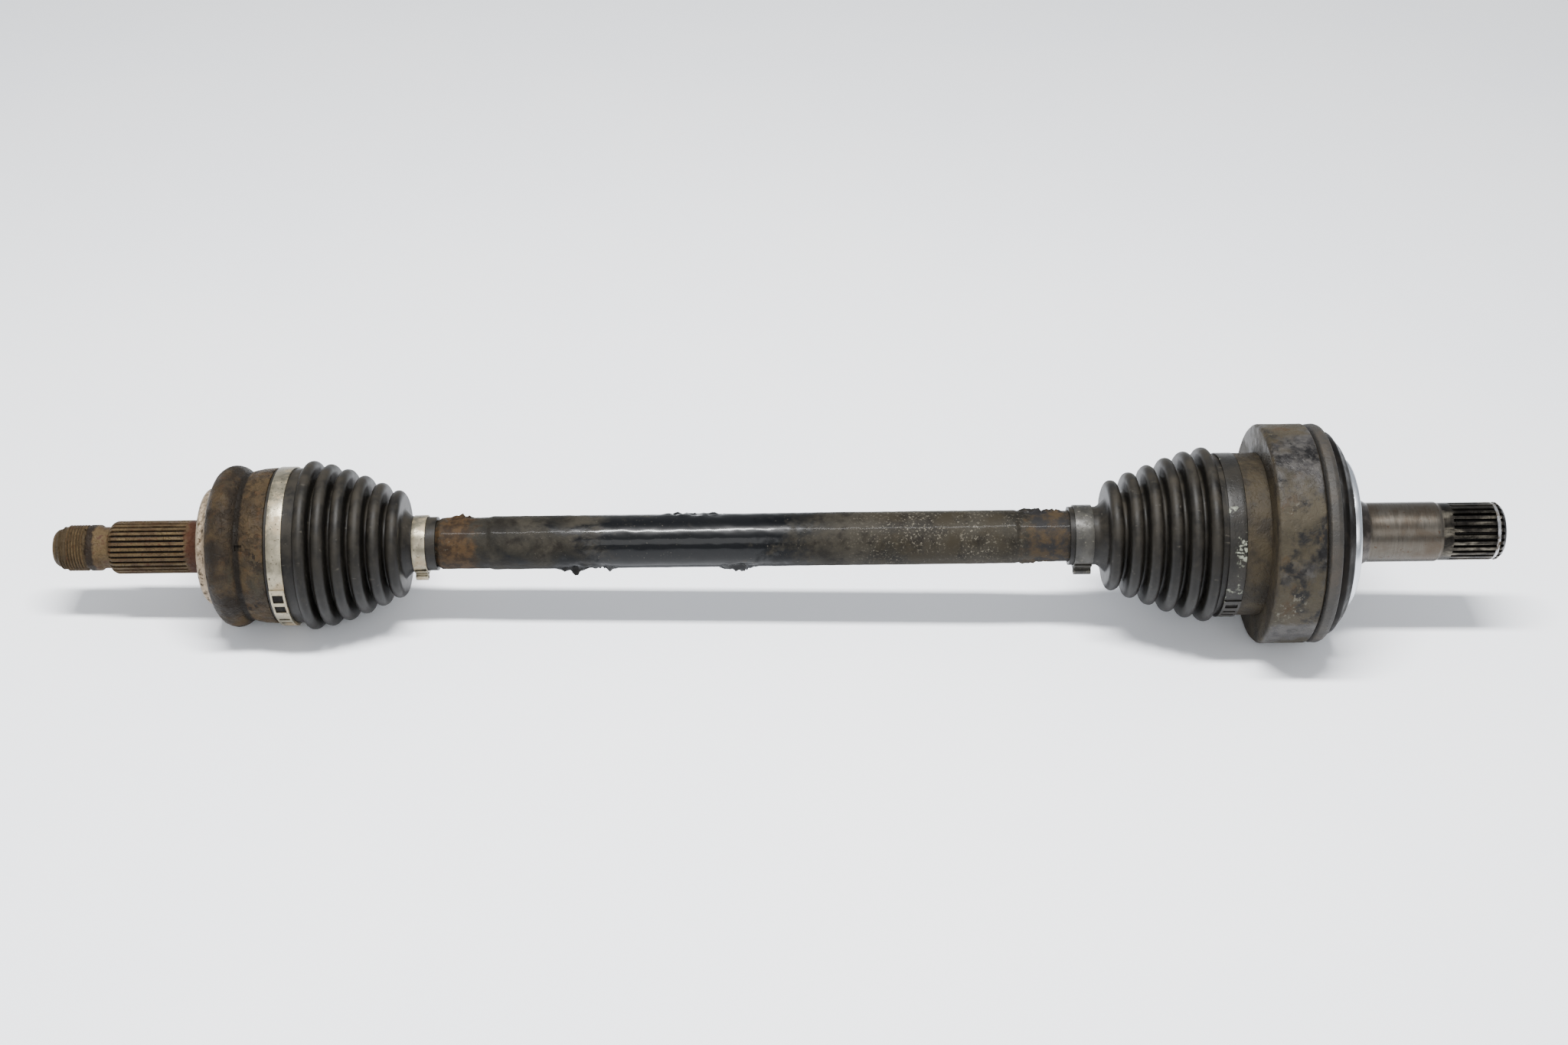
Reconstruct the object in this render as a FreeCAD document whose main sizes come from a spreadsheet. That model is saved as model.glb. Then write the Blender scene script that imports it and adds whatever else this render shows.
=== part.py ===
"""Driveshaft with a ball joint at the wheel end and a tripod joint at the differential end.

Millimetres. The axle's line is X: the threaded wheel end points to -X and the differential end to +X,
with +Z up. The origin is on the axle's line, midway between the two joint centres.

Each joint's pieces are drawn about that joint's own centre, with stations measured outwards along the
axle: positive towards the stub, negative towards the bar.
"""
import FreeCAD, Part
import Sketcher
import math
import os

Vector = FreeCAD.Vector
Rotation = FreeCAD.Rotation
Placement = FreeCAD.Placement

doc = FreeCAD.newDocument("cv_axle")
sheet = doc.addObject("Spreadsheet::Sheet", "Sizes")

# ---------------------------------------------------------------- driving dimensions
SIZES = [
    # bar
    ("joint_span", 520.0, "distance between the two joint centres"),
    ("bar_radius", 14.0, "painted middle of the bar"),
    ("bar_outboard_radius", 13.4, "bar beside the wheel-end boot"),
    ("bar_inboard_radius", 13.2, "bar beside and under the differential-end boot"),
    ("bar_neck_radius", 12.0, "bar inside the wheel-end boot"),
    ("bar_spline_radius", 11.5, "bar inside the race and the spider"),
    ("bar_outboard_step", 115.4, "wheel joint centre to where the bar thickens"),
    ("bar_inboard_step", 130.6, "differential joint centre to where the bar thickens"),
    ("bar_taper", 2.0, "length of each step in the bar"),
    ("bar_end_chamfer", 1.2, "chamfer on the bar's ends"),
    ("clip_offset", 0.2, "gap from a hub to the clip beside it"),
    ("clip_thickness", 1.8, "axial thickness of the bar's two clips"),
    ("clip_groove_depth", 1.3, "depth of the clip grooves"),
    ("clip_height", 1.5, "how far the clips stand out of the bar"),
    ("clip_end_margin", 2.6, "bar left beyond a clip"),
    ("clip_sweep", 325.0, "degrees of ring in an open clip"),
    # ball joint
    ("ball_radius", 8.5, "six balls"),
    ("ball_pitch_radius", 26.5, "ball centres to the joint centre"),
    ("ball_count", 6, "balls, tracks and cage windows"),
    ("track_gap", 0.65, "ball to track wall"),
    ("track_mouth_angle", 80.0, "degrees of bell track from the ball plane towards the bar"),
    ("track_end_angle", 38.0, "degrees of bell track from the ball plane towards the stub"),
    ("race_sphere_radius", 24.2, "outside of the inner race"),
    ("race_half_width", 11.0, "half the inner race's length"),
    ("cage_half_width", 13.0, "half the cage's length"),
    ("cage_wall", 5.0, "cage thickness"),
    ("sphere_gap", 0.3, "gap inside and outside the cage"),
    ("window_gap", 0.05, "ball to cage window, along the axle"),
    ("window_side_room", 1.1, "ball to cage window, around the cage"),
    # bell and wheel stub
    ("bell_floor", 21.5, "joint centre to the bottom of the bell"),
    ("bell_mouth", -19.0, "station of the bell's mouth"),
    ("bell_mouth_radius", 31.0, "bore at the mouth"),
    ("bell_sphere_end", -9.0, "station where the spherical bore ends"),
    ("bell_seat_radius", 38.2, "boot seat on the bell"),
    ("bell_seat_end", -6.0, "station of the shoulder beside the boot"),
    ("bell_body_radius", 40.6, "bell beside the boot"),
    ("bell_mouth_chamfer", 0.6, "chamfer at the bell's mouth"),
    ("bell_body_taper", 1.0, "step from the bell's body down to the groove beside the bead"),
    ("bell_waist_start", 4.6, "station where the bell's body ends"),
    ("bell_waist_radius", 38.6, "groove between the body and the bead"),
    ("bead_start", 9.0, "station of the bead's bar side"),
    ("bead_peak", 15.8, "station of the bead's top"),
    ("bead_radius", 42.2, "outside of the bead at its top"),
    ("bead_flank_end", 24.6, "station where the bead's round flank ends"),
    ("bead_flank_radius", 35.4, "radius there"),
    ("bead_end", 27.4, "station where the bead meets the hub shoulder"),
    ("shoulder_radius", 30.2, "outside of the hub shoulder"),
    ("shoulder_end", 29.6, "station where the shoulder's chamfer begins"),
    ("hub_face", 31.0, "station of the face that the wheel hub seats on"),
    ("hub_face_radius", 28.6, "outside of that face"),
    ("stub_root_radius", 16.6, "foot of the stub at the hub face"),
    ("stub_root_length", 2.6, "length of that foot"),
    ("hub_spline_start", 40.0, "station where the spline grooves begin"),
    ("hub_spline_end", 78.6, "station where the full spline ends"),
    ("hub_spline_radius", 13.8, "spline crests"),
    ("hub_spline_teeth", 30, "spline teeth"),
    ("hub_spline_depth", 1.15, "spline groove depth"),
    ("neck_start", 81.8, "station of the relief beside the spline"),
    ("neck_end", 85.8, "station of the relief's other side"),
    ("neck_radius", 10.8, "relief between spline and thread"),
    ("thread_shank_start", 87.4, "station where the plain shank begins"),
    ("thread_start", 93.0, "station where the thread begins"),
    ("thread_radius", 12.0, "M24 thread crests"),
    ("thread_pitch", 1.5, "thread pitch"),
    ("thread_depth", 0.92, "thread depth"),
    ("thread_crest_half", 0.1, "half the flat of a thread crest"),
    ("groove_share", 0.62, "spline groove at the crests, as a share of the tooth pitch"),
    ("groove_root_share", 0.3, "groove at its root, as a share of its width at the crests"),
    ("cut_overlap", 0.05, "how far a cut's outline starts outside the metal"),
    ("stub_tip", 110.9, "station of the stub's end"),
    ("stub_tip_radius", 9.2, "flat end of the stub"),
    ("stub_tip_chamfer", 6.9, "length of the end chamfer"),
    # tripod
    ("trunnion_radius", 7.3, "spider pins"),
    ("trunnion_tip", 34.0, "axle's line to a pin's end"),
    ("trunnion_count", 3, "pins, rollers and tracks"),
    ("spider_hub_radius", 15.5, "spider hub"),
    ("spider_half_width", 12.0, "half the spider hub's length"),
    ("roller_centre_radius", 25.5, "axle's line to a roller's middle"),
    ("roller_radius", 14.0, "crowned outside of a roller"),
    ("roller_half_width", 6.4, "half a roller's width"),
    ("needle_radius", 1.0, "needles in the rollers"),
    ("needle_count", 24, "needles in one roller"),
    ("needle_half_length", 5.6, "half a needle's length"),
    ("needle_gap", 0.05, "needle to pin and to roller"),
    ("pin_root_depth", 0.7, "bar to where a pin's outline begins inside the hub"),
    ("pin_collar_gap", 0.4, "collar at a pin's foot to its roller"),
    ("pin_collar_height", 1.6, "how far that collar stands out of the pin"),
    ("pin_tip_step", 0.5, "how much narrower a pin is beyond its ring"),
    ("retainer_gap", 0.3, "roller to its retaining ring"),
    ("retainer_thickness", 1.0, "retaining ring on a pin"),
    ("retainer_groove_depth", 0.6, "groove for the ring in the pin"),
    ("retainer_height", 2.2, "how far the ring stands out of the pin"),
    ("roller_track_gap", 0.85, "roller to track wall"),
    ("track_foot_depth", 7.5, "middle of a roller to the foot of its track"),
    # differential housing and stub
    ("housing_mouth", -29.0, "station of the housing's mouth"),
    ("housing_seat_radius", 39.5, "boot seat on the housing"),
    ("housing_shoulder", -17.6, "station of the shoulder beside the boot"),
    ("housing_radius", 42.3, "housing between the boot and the ring"),
    ("housing_bore", 25.5, "bore between the tracks"),
    ("track_floor_radius", 36.0, "bottom of the roller tracks"),
    ("ring_start", -5.4, "station of the ring's bar side"),
    ("ring_end", 19.8, "station of the ring's stub side"),
    ("ring_radius", 57.2, "outside of the ring"),
    ("ring_chamfer", 0.8, "chamfer on the ring's corners"),
    ("flange_end", 27.4, "station of the flange's stub side"),
    ("flange_edge_radius", 56.4, "flange at its stub side"),
    ("recess_radius", 37.0, "recess in the stub's flange"),
    ("recess_end", 33.8, "station of the recess's bottom"),
    ("seal_seat_radius", 44.0, "seat of the rubber seal"),
    ("seal_seat_end", 36.0, "station of the seat's end"),
    ("seal_radius", 53.2, "outside of the seal"),
    ("seal_lip_start", 31.0, "station where the seal narrows"),
    ("seal_lip_radius", 46.0, "seal at its narrow end"),
    ("spigot_radius", 34.0, "spigot inside the wear ring"),
    ("wear_ring_radius", 39.6, "outside of the wear ring"),
    ("wear_ring_start", 36.6, "station of the wear ring"),
    ("wear_ring_end", 41.2, "station of the wear ring's stub side"),
    ("wear_ring_chamfer", 0.5, "chamfer on the wear ring"),
    ("root_radius", 19.2, "stub where its root narrows"),
    ("root_station", 45.8, "station of that narrowing"),
    ("root_foot_radius", 25.0, "stub's root at the spigot"),
    ("journal_start", 52.2, "station where the journal begins"),
    ("journal_end", 88.2, "station where the journal ends"),
    ("journal_radius", 15.6, "bearing and seal journal"),
    ("journal_taper", 1.0, "length of the taper beside the journal"),
    ("diff_spline_start", 94.5, "station where the spline grooves begin"),
    ("diff_spline_radius", 15.1, "spline crests"),
    ("diff_spline_teeth", 27, "spline teeth"),
    ("diff_spline_depth", 1.3, "spline groove depth"),
    ("diff_clip_start", 117.6, "station of the stub clip's groove"),
    ("diff_clip_thickness", 1.6, "axial thickness of the stub's clip"),
    ("diff_clip_depth", 1.9, "depth of the stub clip's groove"),
    ("diff_clip_height", 1.4, "clip's radial size"),
    ("diff_tip", 123.2, "station of the stub's end"),
    ("diff_tip_radius", 11.5, "flat end of the stub"),
    ("diff_tip_round", 3.0, "length of the end's taper"),
    # boots
    ("boot_wall", 2.0, "boot thickness under the clamps"),
    ("fold_wall", 1.8, "boot thickness at a fold's top"),
    ("boot_fit", 0.05, "gap at each face that a boot seats on"),
    ("boot_end_gap", 0.2, "end of a boot to the shoulder beside it"),
    ("fold_count", 6, "folds in each boot"),
    ("fold_depth", 8.5, "fold top to fold bottom"),
    ("fold_top_half", 1.3, "half the flat of a fold's top"),
    ("fold_bottom_half", 0.9, "half the flat of a fold's bottom"),
    ("fold_flank_shift", 1.0, "how much narrower a fold is inside"),
    ("outboard_fold_first", -24.2, "station of the wheel-end boot's largest fold"),
    ("outboard_fold_pitch", 8.8, "distance between its folds"),
    ("outboard_fold_radius", 44.0, "radius of its largest fold"),
    ("outboard_fold_drop", 1.9, "drop of radius from one fold to the next"),
    ("outboard_fold_curve", 0.27, "how the drop grows along the boot"),
    ("outboard_neck_start", -74.4, "station where its neck begins"),
    ("outboard_neck_end", -88.6, "station where its neck ends"),
    ("inboard_fold_first", -32.9, "station of the other boot's largest fold"),
    ("inboard_fold_pitch", 9.5, "distance between its folds"),
    ("inboard_fold_radius", 45.6, "radius of its largest fold"),
    ("inboard_fold_drop", 2.4, "drop of radius from one fold to the next"),
    ("inboard_fold_curve", 0.2, "how the drop grows along the boot"),
    ("inboard_neck_start", -86.4, "station where its neck begins"),
    ("inboard_neck_end", -103.0, "station where its neck ends"),
    # clamps
    ("clamp_wall", 1.0, "clamp band thickness"),
    ("outboard_large_clamp_start", -15.4, "station of the clamp beside the bell"),
    ("outboard_large_clamp_width", 7.6, "its width"),
    ("outboard_small_clamp_start", -83.4, "station of the clamp on the wheel-end neck"),
    ("outboard_small_clamp_width", 7.0, "its width"),
    ("inboard_large_clamp_start", -26.6, "station of the clamp on the housing"),
    ("inboard_large_clamp_width", 8.8, "its width"),
    ("inboard_small_clamp_start", -100.4, "station of the clamp on the differential-end neck"),
    ("inboard_small_clamp_width", 9.6, "its width"),
    ("ear_width", 7.0, "clamp ear, around the band"),
    ("ear_height", 3.6, "clamp ear, above the band"),
    ("ear_wall", 1.1, "metal around the ear's eye"),
    ("ear_foot", 0.15, "inside of a band to the foot of its ear or hook"),
    ("hook_width", 15.0, "low hook of a large clamp, around the band"),
    ("hook_height", 1.1, "low hook, above the band"),
    ("hook_slot", 4.0, "slots in the low hook, around the band"),
    ("hook_slot_depth", 0.8, "depth of those slots"),
    ("hook_slot_offset", 0.9, "middle of the hook to each slot's near edge"),
    ("slot_margin_share", 0.2, "band left at each end of a slot, as a share of the band's width"),
    ("small_ear_angle", 145.0, "degrees from the top, over the front, to the small clamps' ears"),
    ("outboard_hook_angle", 115.0, "the same for the wheel-end large clamp"),
    ("inboard_hook_angle", 230.0, "the same for the differential-end large clamp"),
]

# ---------------------------------------------------------------- sizes that follow from them
FOLLOWING = [
    ("half_span", "joint_span / 2"),
    ("outboard_x", "-half_span"),
    ("race_seat_far", "-half_span - race_half_width"),
    ("outboard_clip_near", "race_seat_far - clip_offset"),
    ("outboard_clip_far", "outboard_clip_near - clip_thickness"),
    ("bar_outboard_end", "outboard_clip_far - clip_end_margin"),
    ("bar_outboard_end_edge", "bar_outboard_end + bar_end_chamfer"),
    ("race_seat_near", "-half_span + race_half_width"),
    ("bar_neck_end", "-half_span - outboard_neck_end"),
    ("bar_neck_step", "bar_neck_end + bar_taper"),
    ("bar_middle_start", "-half_span + bar_outboard_step"),
    ("bar_middle_start_edge", "bar_middle_start + bar_taper"),
    ("bar_middle_end", "half_span - bar_inboard_step"),
    ("bar_middle_end_edge", "bar_middle_end + bar_taper"),
    ("spider_seat_near", "half_span - spider_half_width"),
    ("spider_seat_far", "half_span + spider_half_width"),
    ("inboard_clip_near", "spider_seat_far + clip_offset"),
    ("inboard_clip_far", "inboard_clip_near + clip_thickness"),
    ("bar_inboard_end", "inboard_clip_far + clip_end_margin"),
    ("bar_inboard_end_edge", "bar_inboard_end - bar_end_chamfer"),
    ("bar_end_radius", "bar_spline_radius - bar_end_chamfer"),
    ("bar_clip_bottom", "bar_spline_radius - clip_groove_depth"),
    ("bar_clip_top", "bar_spline_radius + clip_height"),
    ("race_back", "-race_half_width"),
    ("bell_mouth_edge", "bell_mouth + bell_mouth_chamfer"),
    ("bell_mouth_edge_radius", "bell_seat_radius - bell_mouth_chamfer"),
    ("thread_groove_start", "thread_start + thread_crest_half"),
    ("thread_groove_middle", "thread_start + thread_pitch / 2"),
    ("thread_groove_end", "thread_start + thread_pitch - thread_crest_half"),
    ("thread_over_radius", "thread_radius + cut_overlap"),
    ("thread_count", "floor((thread_end - thread_start) / thread_pitch)"),
    ("thread_run", "(thread_count - 1) * thread_pitch"),
    ("spider_pin_foot", "bar_spline_radius + pin_root_depth"),
    ("race_rim_radius", "sqrt(race_sphere_radius^2 - race_half_width^2)"),
    ("track_radius", "ball_radius + track_gap"),
    ("cage_inner_radius", "race_sphere_radius + sphere_gap"),
    ("cage_outer_radius", "cage_inner_radius + cage_wall"),
    ("cage_back", "-cage_half_width"),
    ("cage_over_radius", "cage_outer_radius + cut_overlap"),
    ("track_sweep", "track_mouth_angle + track_end_angle"),
    ("bell_boot_end", "bell_seat_end - boot_end_gap"),
    ("housing_boot_end", "housing_shoulder - boot_end_gap"),
    ("cage_rim_outer", "sqrt(cage_outer_radius^2 - cage_half_width^2)"),
    ("cage_rim_inner", "sqrt(cage_inner_radius^2 - cage_half_width^2)"),
    ("window_half_length", "ball_radius + window_gap"),
    ("window_half_length_back", "-window_half_length"),
    ("window_half_width", "ball_radius + window_side_room"),
    ("window_half_width_back", "-window_half_width"),
    ("bell_sphere_radius", "cage_outer_radius + sphere_gap"),
    ("bell_sphere_end_radius", "sqrt(bell_sphere_radius^2 - bell_sphere_end^2)"),
    ("bell_floor_radius", "sqrt(bell_sphere_radius^2 - bell_floor^2)"),
    ("bell_waist_edge_radius", "bell_waist_radius + bell_body_taper"),
    ("bead_rise", "bead_radius - bell_waist_radius"),
    ("bead_fall", "bead_radius - bead_flank_radius"),
    ("bead_bar_round", "((bead_peak - bead_start)^2 + bead_rise^2) / (2 * bead_rise)"),
    ("bead_wheel_round", "((bead_flank_end - bead_peak)^2 + bead_fall^2) / (2 * bead_fall)"),
    ("stub_root_end", "hub_face + stub_root_length"),
    ("thread_end", "stub_tip - stub_tip_chamfer"),
    ("thread_root_radius", "thread_radius - thread_depth"),
    ("hub_tooth_half", "hub_spline_radius * pi / hub_spline_teeth * groove_share"),
    ("hub_tooth_root_half", "hub_tooth_half * groove_root_share"),
    ("hub_tooth_root_half_back", "-hub_tooth_root_half"),
    ("hub_spline_root", "hub_spline_radius - hub_spline_depth"),
    ("hub_spline_over", "hub_spline_radius + hub_spline_depth"),
    ("hub_tooth_over_half", "hub_tooth_half * (2 - groove_root_share)"),
    ("hub_tooth_over_half_back", "-hub_tooth_over_half"),
    ("hub_groove_length", "neck_start - hub_spline_start"),
    ("roller_bore", "trunnion_radius + 2 * needle_gap + 2 * needle_radius"),
    ("needle_pitch_radius", "trunnion_radius + needle_gap + needle_radius"),
    ("needle_length", "2 * needle_half_length"),
    ("needle_bottom", "roller_centre_radius - needle_half_length"),
    ("roller_bottom", "roller_centre_radius - roller_half_width"),
    ("roller_top_station", "roller_centre_radius + roller_half_width"),
    ("roller_face_radius", "sqrt(roller_radius^2 - roller_half_width^2)"),
    ("retainer_bottom", "roller_top_station + retainer_gap"),
    ("retainer_top", "retainer_bottom + retainer_thickness"),
    ("retainer_inner", "trunnion_radius - retainer_groove_depth"),
    ("retainer_outer", "trunnion_radius + retainer_height"),
    ("trunnion_tip_radius", "trunnion_radius - pin_tip_step"),
    ("trunnion_step", "roller_bottom - pin_collar_gap"),
    ("trunnion_foot_radius", "trunnion_radius + pin_collar_height"),
    ("spider_back", "-spider_half_width"),
    ("track_side_radius", "roller_radius + roller_track_gap"),
    ("track_corner_z", "(track_floor_radius^2 + roller_centre_radius^2 - track_side_radius^2)"
                       " / (2 * roller_centre_radius)"),
    ("track_corner_y", "sqrt(track_floor_radius^2 - track_corner_z^2)"),
    ("track_corner_y_back", "-track_corner_y"),
    ("track_foot_z", "roller_centre_radius - track_foot_depth"),
    ("track_foot_y", "sqrt(track_side_radius^2 - track_foot_depth^2)"),
    ("track_foot_y_back", "-track_foot_y"),
    ("housing_length", "ring_end - housing_mouth"),
    ("ring_inner_edge", "ring_start + ring_chamfer"),
    ("ring_outer_edge", "ring_end - ring_chamfer"),
    ("ring_edge_radius", "ring_radius - ring_chamfer"),
    ("wear_ring_edge", "wear_ring_end - wear_ring_chamfer"),
    ("wear_ring_edge_radius", "wear_ring_radius - wear_ring_chamfer"),
    ("journal_edge", "journal_end + journal_taper"),
    ("diff_clip_end", "diff_clip_start + diff_clip_thickness"),
    ("diff_clip_bottom", "diff_spline_radius - diff_clip_depth"),
    ("diff_clip_top", "diff_clip_bottom + diff_clip_height"),
    ("diff_tip_edge", "diff_tip - diff_tip_round"),
    ("diff_tooth_half", "diff_spline_radius * pi / diff_spline_teeth * groove_share"),
    ("diff_tooth_root_half", "diff_tooth_half * groove_root_share"),
    ("diff_tooth_root_half_back", "-diff_tooth_root_half"),
    ("diff_spline_root", "diff_spline_radius - diff_spline_depth"),
    ("diff_spline_over", "diff_spline_radius + diff_spline_depth"),
    ("diff_tooth_over_half", "diff_tooth_half * (2 - groove_root_share)"),
    ("diff_tooth_over_half_back", "-diff_tooth_over_half"),
    ("diff_groove_length", "diff_tip - diff_spline_start"),
    ("flange_edge_start", "ring_end + ring_chamfer"),
    ("ear_half", "ear_width / 2"),
    ("ear_half_back", "-ear_half"),
    ("eye_half", "ear_half - ear_wall"),
    ("eye_half_back", "-eye_half"),
    ("hook_half", "hook_width / 2"),
    ("hook_half_back", "-hook_half"),
    ("slot_one_start", "hook_slot_offset"),
    ("slot_one_end", "slot_one_start + hook_slot"),
    ("slot_two_start", "-slot_one_end"),
    ("slot_two_end", "-slot_one_start"),
]


def sheet_rows():
    """Fill the sheet: name, value and meaning in each row, then the sizes that follow."""
    row = 1
    for alias, value, meaning in SIZES:
        sheet.set(f"A{row}", meaning)
        sheet.set(f"B{row}", str(value))
        sheet.setAlias(f"B{row}", alias)
        row += 1
    following = FOLLOWING + boot_sizes("outboard") + boot_sizes("inboard")
    following += clamp_sizes()
    for alias, formula in following:
        sheet.set(f"A{row}", "follows from the sizes above")
        sheet.set(f"B{row}", "=" + formula)
        sheet.setAlias(f"B{row}", alias)
        row += 1
    doc.recompute()


def boot_sizes(side):
    """Stations and radii of one boot's folds, the largest first."""
    fold_count = int(dict((alias, value) for alias, value, meaning in SIZES)["fold_count"])
    seat = "bell_seat_radius" if side == "outboard" else "housing_seat_radius"
    neck_bar = "bar_neck_radius" if side == "outboard" else "bar_inboard_radius"
    rows = [
        (f"{side}_boot_bore", f"{seat} + boot_fit"),
        (f"{side}_boot_outside", f"{seat} + boot_fit + boot_wall"),
        (f"{side}_neck_bore", f"{neck_bar} + boot_fit"),
        (f"{side}_neck_outside", f"{neck_bar} + boot_fit + boot_wall"),
        (f"{side}_neck_inner_start", f"{side}_neck_start + fold_flank_shift"),
    ]
    for fold in range(fold_count):
        top = f"{side}_top_{fold}"
        bottom = f"{side}_bottom_{fold}"
        pitch = f"{side}_fold_pitch"
        radius = (f"{side}_fold_radius - {side}_fold_drop * {fold}"
                  f" - {side}_fold_curve * {fold * fold}")
        rows += [
            (f"{top}_mid", f"{side}_fold_first - {pitch} * {fold}"),
            (f"{top}_high", f"{top}_mid + fold_top_half"),
            (f"{top}_low", f"{top}_mid - fold_top_half"),
            (f"{top}_r", radius),
            (f"{top}_inner_high", f"{top}_mid + fold_top_half - fold_flank_shift"),
            (f"{top}_inner_low", f"{top}_mid - fold_top_half + fold_flank_shift"),
            (f"{top}_inner_r", f"{top}_r - fold_wall"),
            (f"{bottom}_mid", f"{top}_mid - {pitch} / 2"),
            (f"{bottom}_high", f"{bottom}_mid + fold_bottom_half"),
            (f"{bottom}_low", f"{bottom}_mid - fold_bottom_half"),
            (f"{bottom}_r", f"{top}_r - fold_depth"),
            (f"{bottom}_inner_high", f"{bottom}_mid + fold_bottom_half + fold_flank_shift"),
            (f"{bottom}_inner_low", f"{bottom}_mid - fold_bottom_half - fold_flank_shift"),
            (f"{bottom}_inner_r", f"{bottom}_r - fold_wall"),
        ]
    return rows


def clamp_sizes():
    """Ends and radii of the four clamps, from the boots that they hold."""
    rows = []
    for name, seat in (("outboard_large", "outboard_boot_outside"),
                       ("outboard_small", "outboard_neck_outside"),
                       ("inboard_large", "inboard_boot_outside"),
                       ("inboard_small", "inboard_neck_outside")):
        rows += [
            (f"{name}_clamp_end", f"{name}_clamp_start + {name}_clamp_width"),
            (f"{name}_clamp_bore", f"{seat} + boot_fit"),
            (f"{name}_clamp_outside", f"{name}_clamp_bore + clamp_wall"),
            (f"{name}_clamp_inside", f"{name}_clamp_bore + ear_foot"),
            (f"{name}_ear_top", f"{name}_clamp_outside + ear_height"),
            (f"{name}_eye_top", f"{name}_ear_top - ear_wall"),
            (f"{name}_hook_top", f"{name}_clamp_outside + hook_height"),
            (f"{name}_slot_bottom", f"{name}_hook_top - hook_slot_depth"),
            (f"{name}_slot_over", f"{name}_hook_top + hook_slot_depth"),
            (f"{name}_slot_station", f"{name}_clamp_end - {name}_clamp_width * slot_margin_share"),
            (f"{name}_slot_length", f"{name}_clamp_width * (1 - 2 * slot_margin_share)"),
        ]
    return rows


def size(alias):
    """Value of a named size."""
    return float(sheet.get(alias))


def origin_part(body, role):
    """Origin plane or axis of a body."""
    return next(part for part in body.Origin.OriginFeatures if part.Role == role)


def new_body(name, centre=None, turned=False, roll=0.0):
    """A body at a joint centre; turned points its stations at -X; roll turns it about the axle."""
    body = doc.addObject("PartDesign::Body", name)
    body.Label = name
    spin = Rotation(Vector(1, 0, 0), roll)
    if turned:
        spin = spin.multiply(Rotation(Vector(0, 0, 1), 180))
    body.Placement = Placement(Vector(), spin)
    if centre:
        body.setExpression("Placement.Base.x", "Sizes." + centre)
    return body


def round_stretch(start, end, radius, side):
    """Arc between two points, its centre on the given side, and whether it runs anticlockwise."""
    middle = (start + end) * 0.5
    chord = end - start
    reach = math.sqrt(max(radius * radius - chord.Length * chord.Length / 4, 0))
    across = Vector(-chord.y, chord.x, 0).normalize()
    centre = middle + across * reach * side
    first, last = (start, end) if side > 0 else (end, start)
    begin = math.atan2(first.y - centre.y, first.x - centre.x)
    finish = math.atan2(last.y - centre.y, last.x - centre.x)
    circle = Part.Circle(centre, Vector(0, 0, 1), radius)
    return Part.ArcOfCircle(circle, begin, finish), side > 0


def draw_outline(body, role, points, station=None):
    """Closed outline on one of the body's planes, every corner tied to two named sizes.

    A point is (across, up), where None lies on the axis. Where the stretch that ends at the point is
    round, the point also names the radius, and 1 or -1 for a centre to the left or right of the way.
    """
    sketch = body.newObject("Sketcher::SketchObject", body.Name + "_outline")
    sketch.AttachmentSupport = (origin_part(body, role), [""])
    sketch.MapMode = "FlatFace"
    if station:
        sketch.setExpression("AttachmentOffset.Base.z", "Sizes." + station)
    corners = []
    for point in points:
        corners.append(Vector(*[size(alias) if alias else 0.0 for alias in point[:2]], 0))
    ends = []
    for index, point in enumerate(points):
        start = corners[index - 1]
        end = corners[index]
        if len(point) == 4:
            shape, forward = round_stretch(start, end, size(point[2]), point[3])
            ends.append((1, 2) if forward else (2, 1))
        else:
            shape = Part.LineSegment(start, end)
            ends.append((1, 2))
        sketch.addGeometry(shape, False)
    for index, point in enumerate(points):
        before = index - 1 if index else len(points) - 1
        tie_corner(sketch, before, index, ends)
        tie_size(sketch, index, ends[index][1], "DistanceX", point[0], corners[index].x)
        tie_size(sketch, index, ends[index][1], "DistanceY", point[1], corners[index].y)
        if len(point) == 4:
            held = sketch.addConstraint(Sketcher.Constraint("Radius", index, size(point[2])))
            sketch.setExpression(f"Constraints[{held}]", "Sizes." + point[2])
    return sketch


def tie_corner(sketch, before, index, ends):
    """Join the end of one stretch to the start of the next."""
    sketch.addConstraint(
        Sketcher.Constraint("Coincident", before, ends[before][1], index, ends[index][0]))


def tie_size(sketch, geometry, end, kind, alias, value):
    """Hold a corner at a named size, or on the axis where there is none."""
    if alias is None:
        axis = -2 if kind == "DistanceX" else -1
        sketch.addConstraint(Sketcher.Constraint("PointOnObject", geometry, end, axis))
        return
    held = sketch.addConstraint(Sketcher.Constraint(kind, -1, 1, geometry, end, value))
    sketch.setExpression(f"Constraints[{held}]", "Sizes." + alias)


def revolve(body, sketch, axis="H_Axis", sweep=None):
    """Turn an outline about the axle, or about a pin's own line."""
    feature = body.newObject("PartDesign::Revolution", body.Name + "_turned")
    feature.Profile = sketch
    feature.ReferenceAxis = (sketch, [axis])
    feature.Angle = 360
    if sweep:
        feature.setExpression("Angle", "Sizes." + sweep)
    sketch.Visibility = False
    doc.recompute()
    return feature


def cut_groove(body, sketch):
    """Cut an outline turned about the axle out of the body."""
    feature = body.newObject("PartDesign::Groove", body.Name + "_groove")
    feature.Profile = sketch
    feature.ReferenceAxis = (sketch, ["H_Axis"])
    feature.Angle = 360
    doc.recompute()
    return feature


def cut_pocket(body, sketch, length):
    """Cut an outline through the body, against its plane's normal, checking that it cuts."""
    before = body.Shape.Volume
    feature = body.newObject("PartDesign::Pocket", body.Name + "_pocket")
    feature.Profile = sketch
    feature.setExpression("Length", "Sizes." + length)
    doc.recompute()
    if not body.Shape.Volume < before:
        raise RuntimeError(f"{feature.Name} cuts nothing")
    return feature


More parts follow.
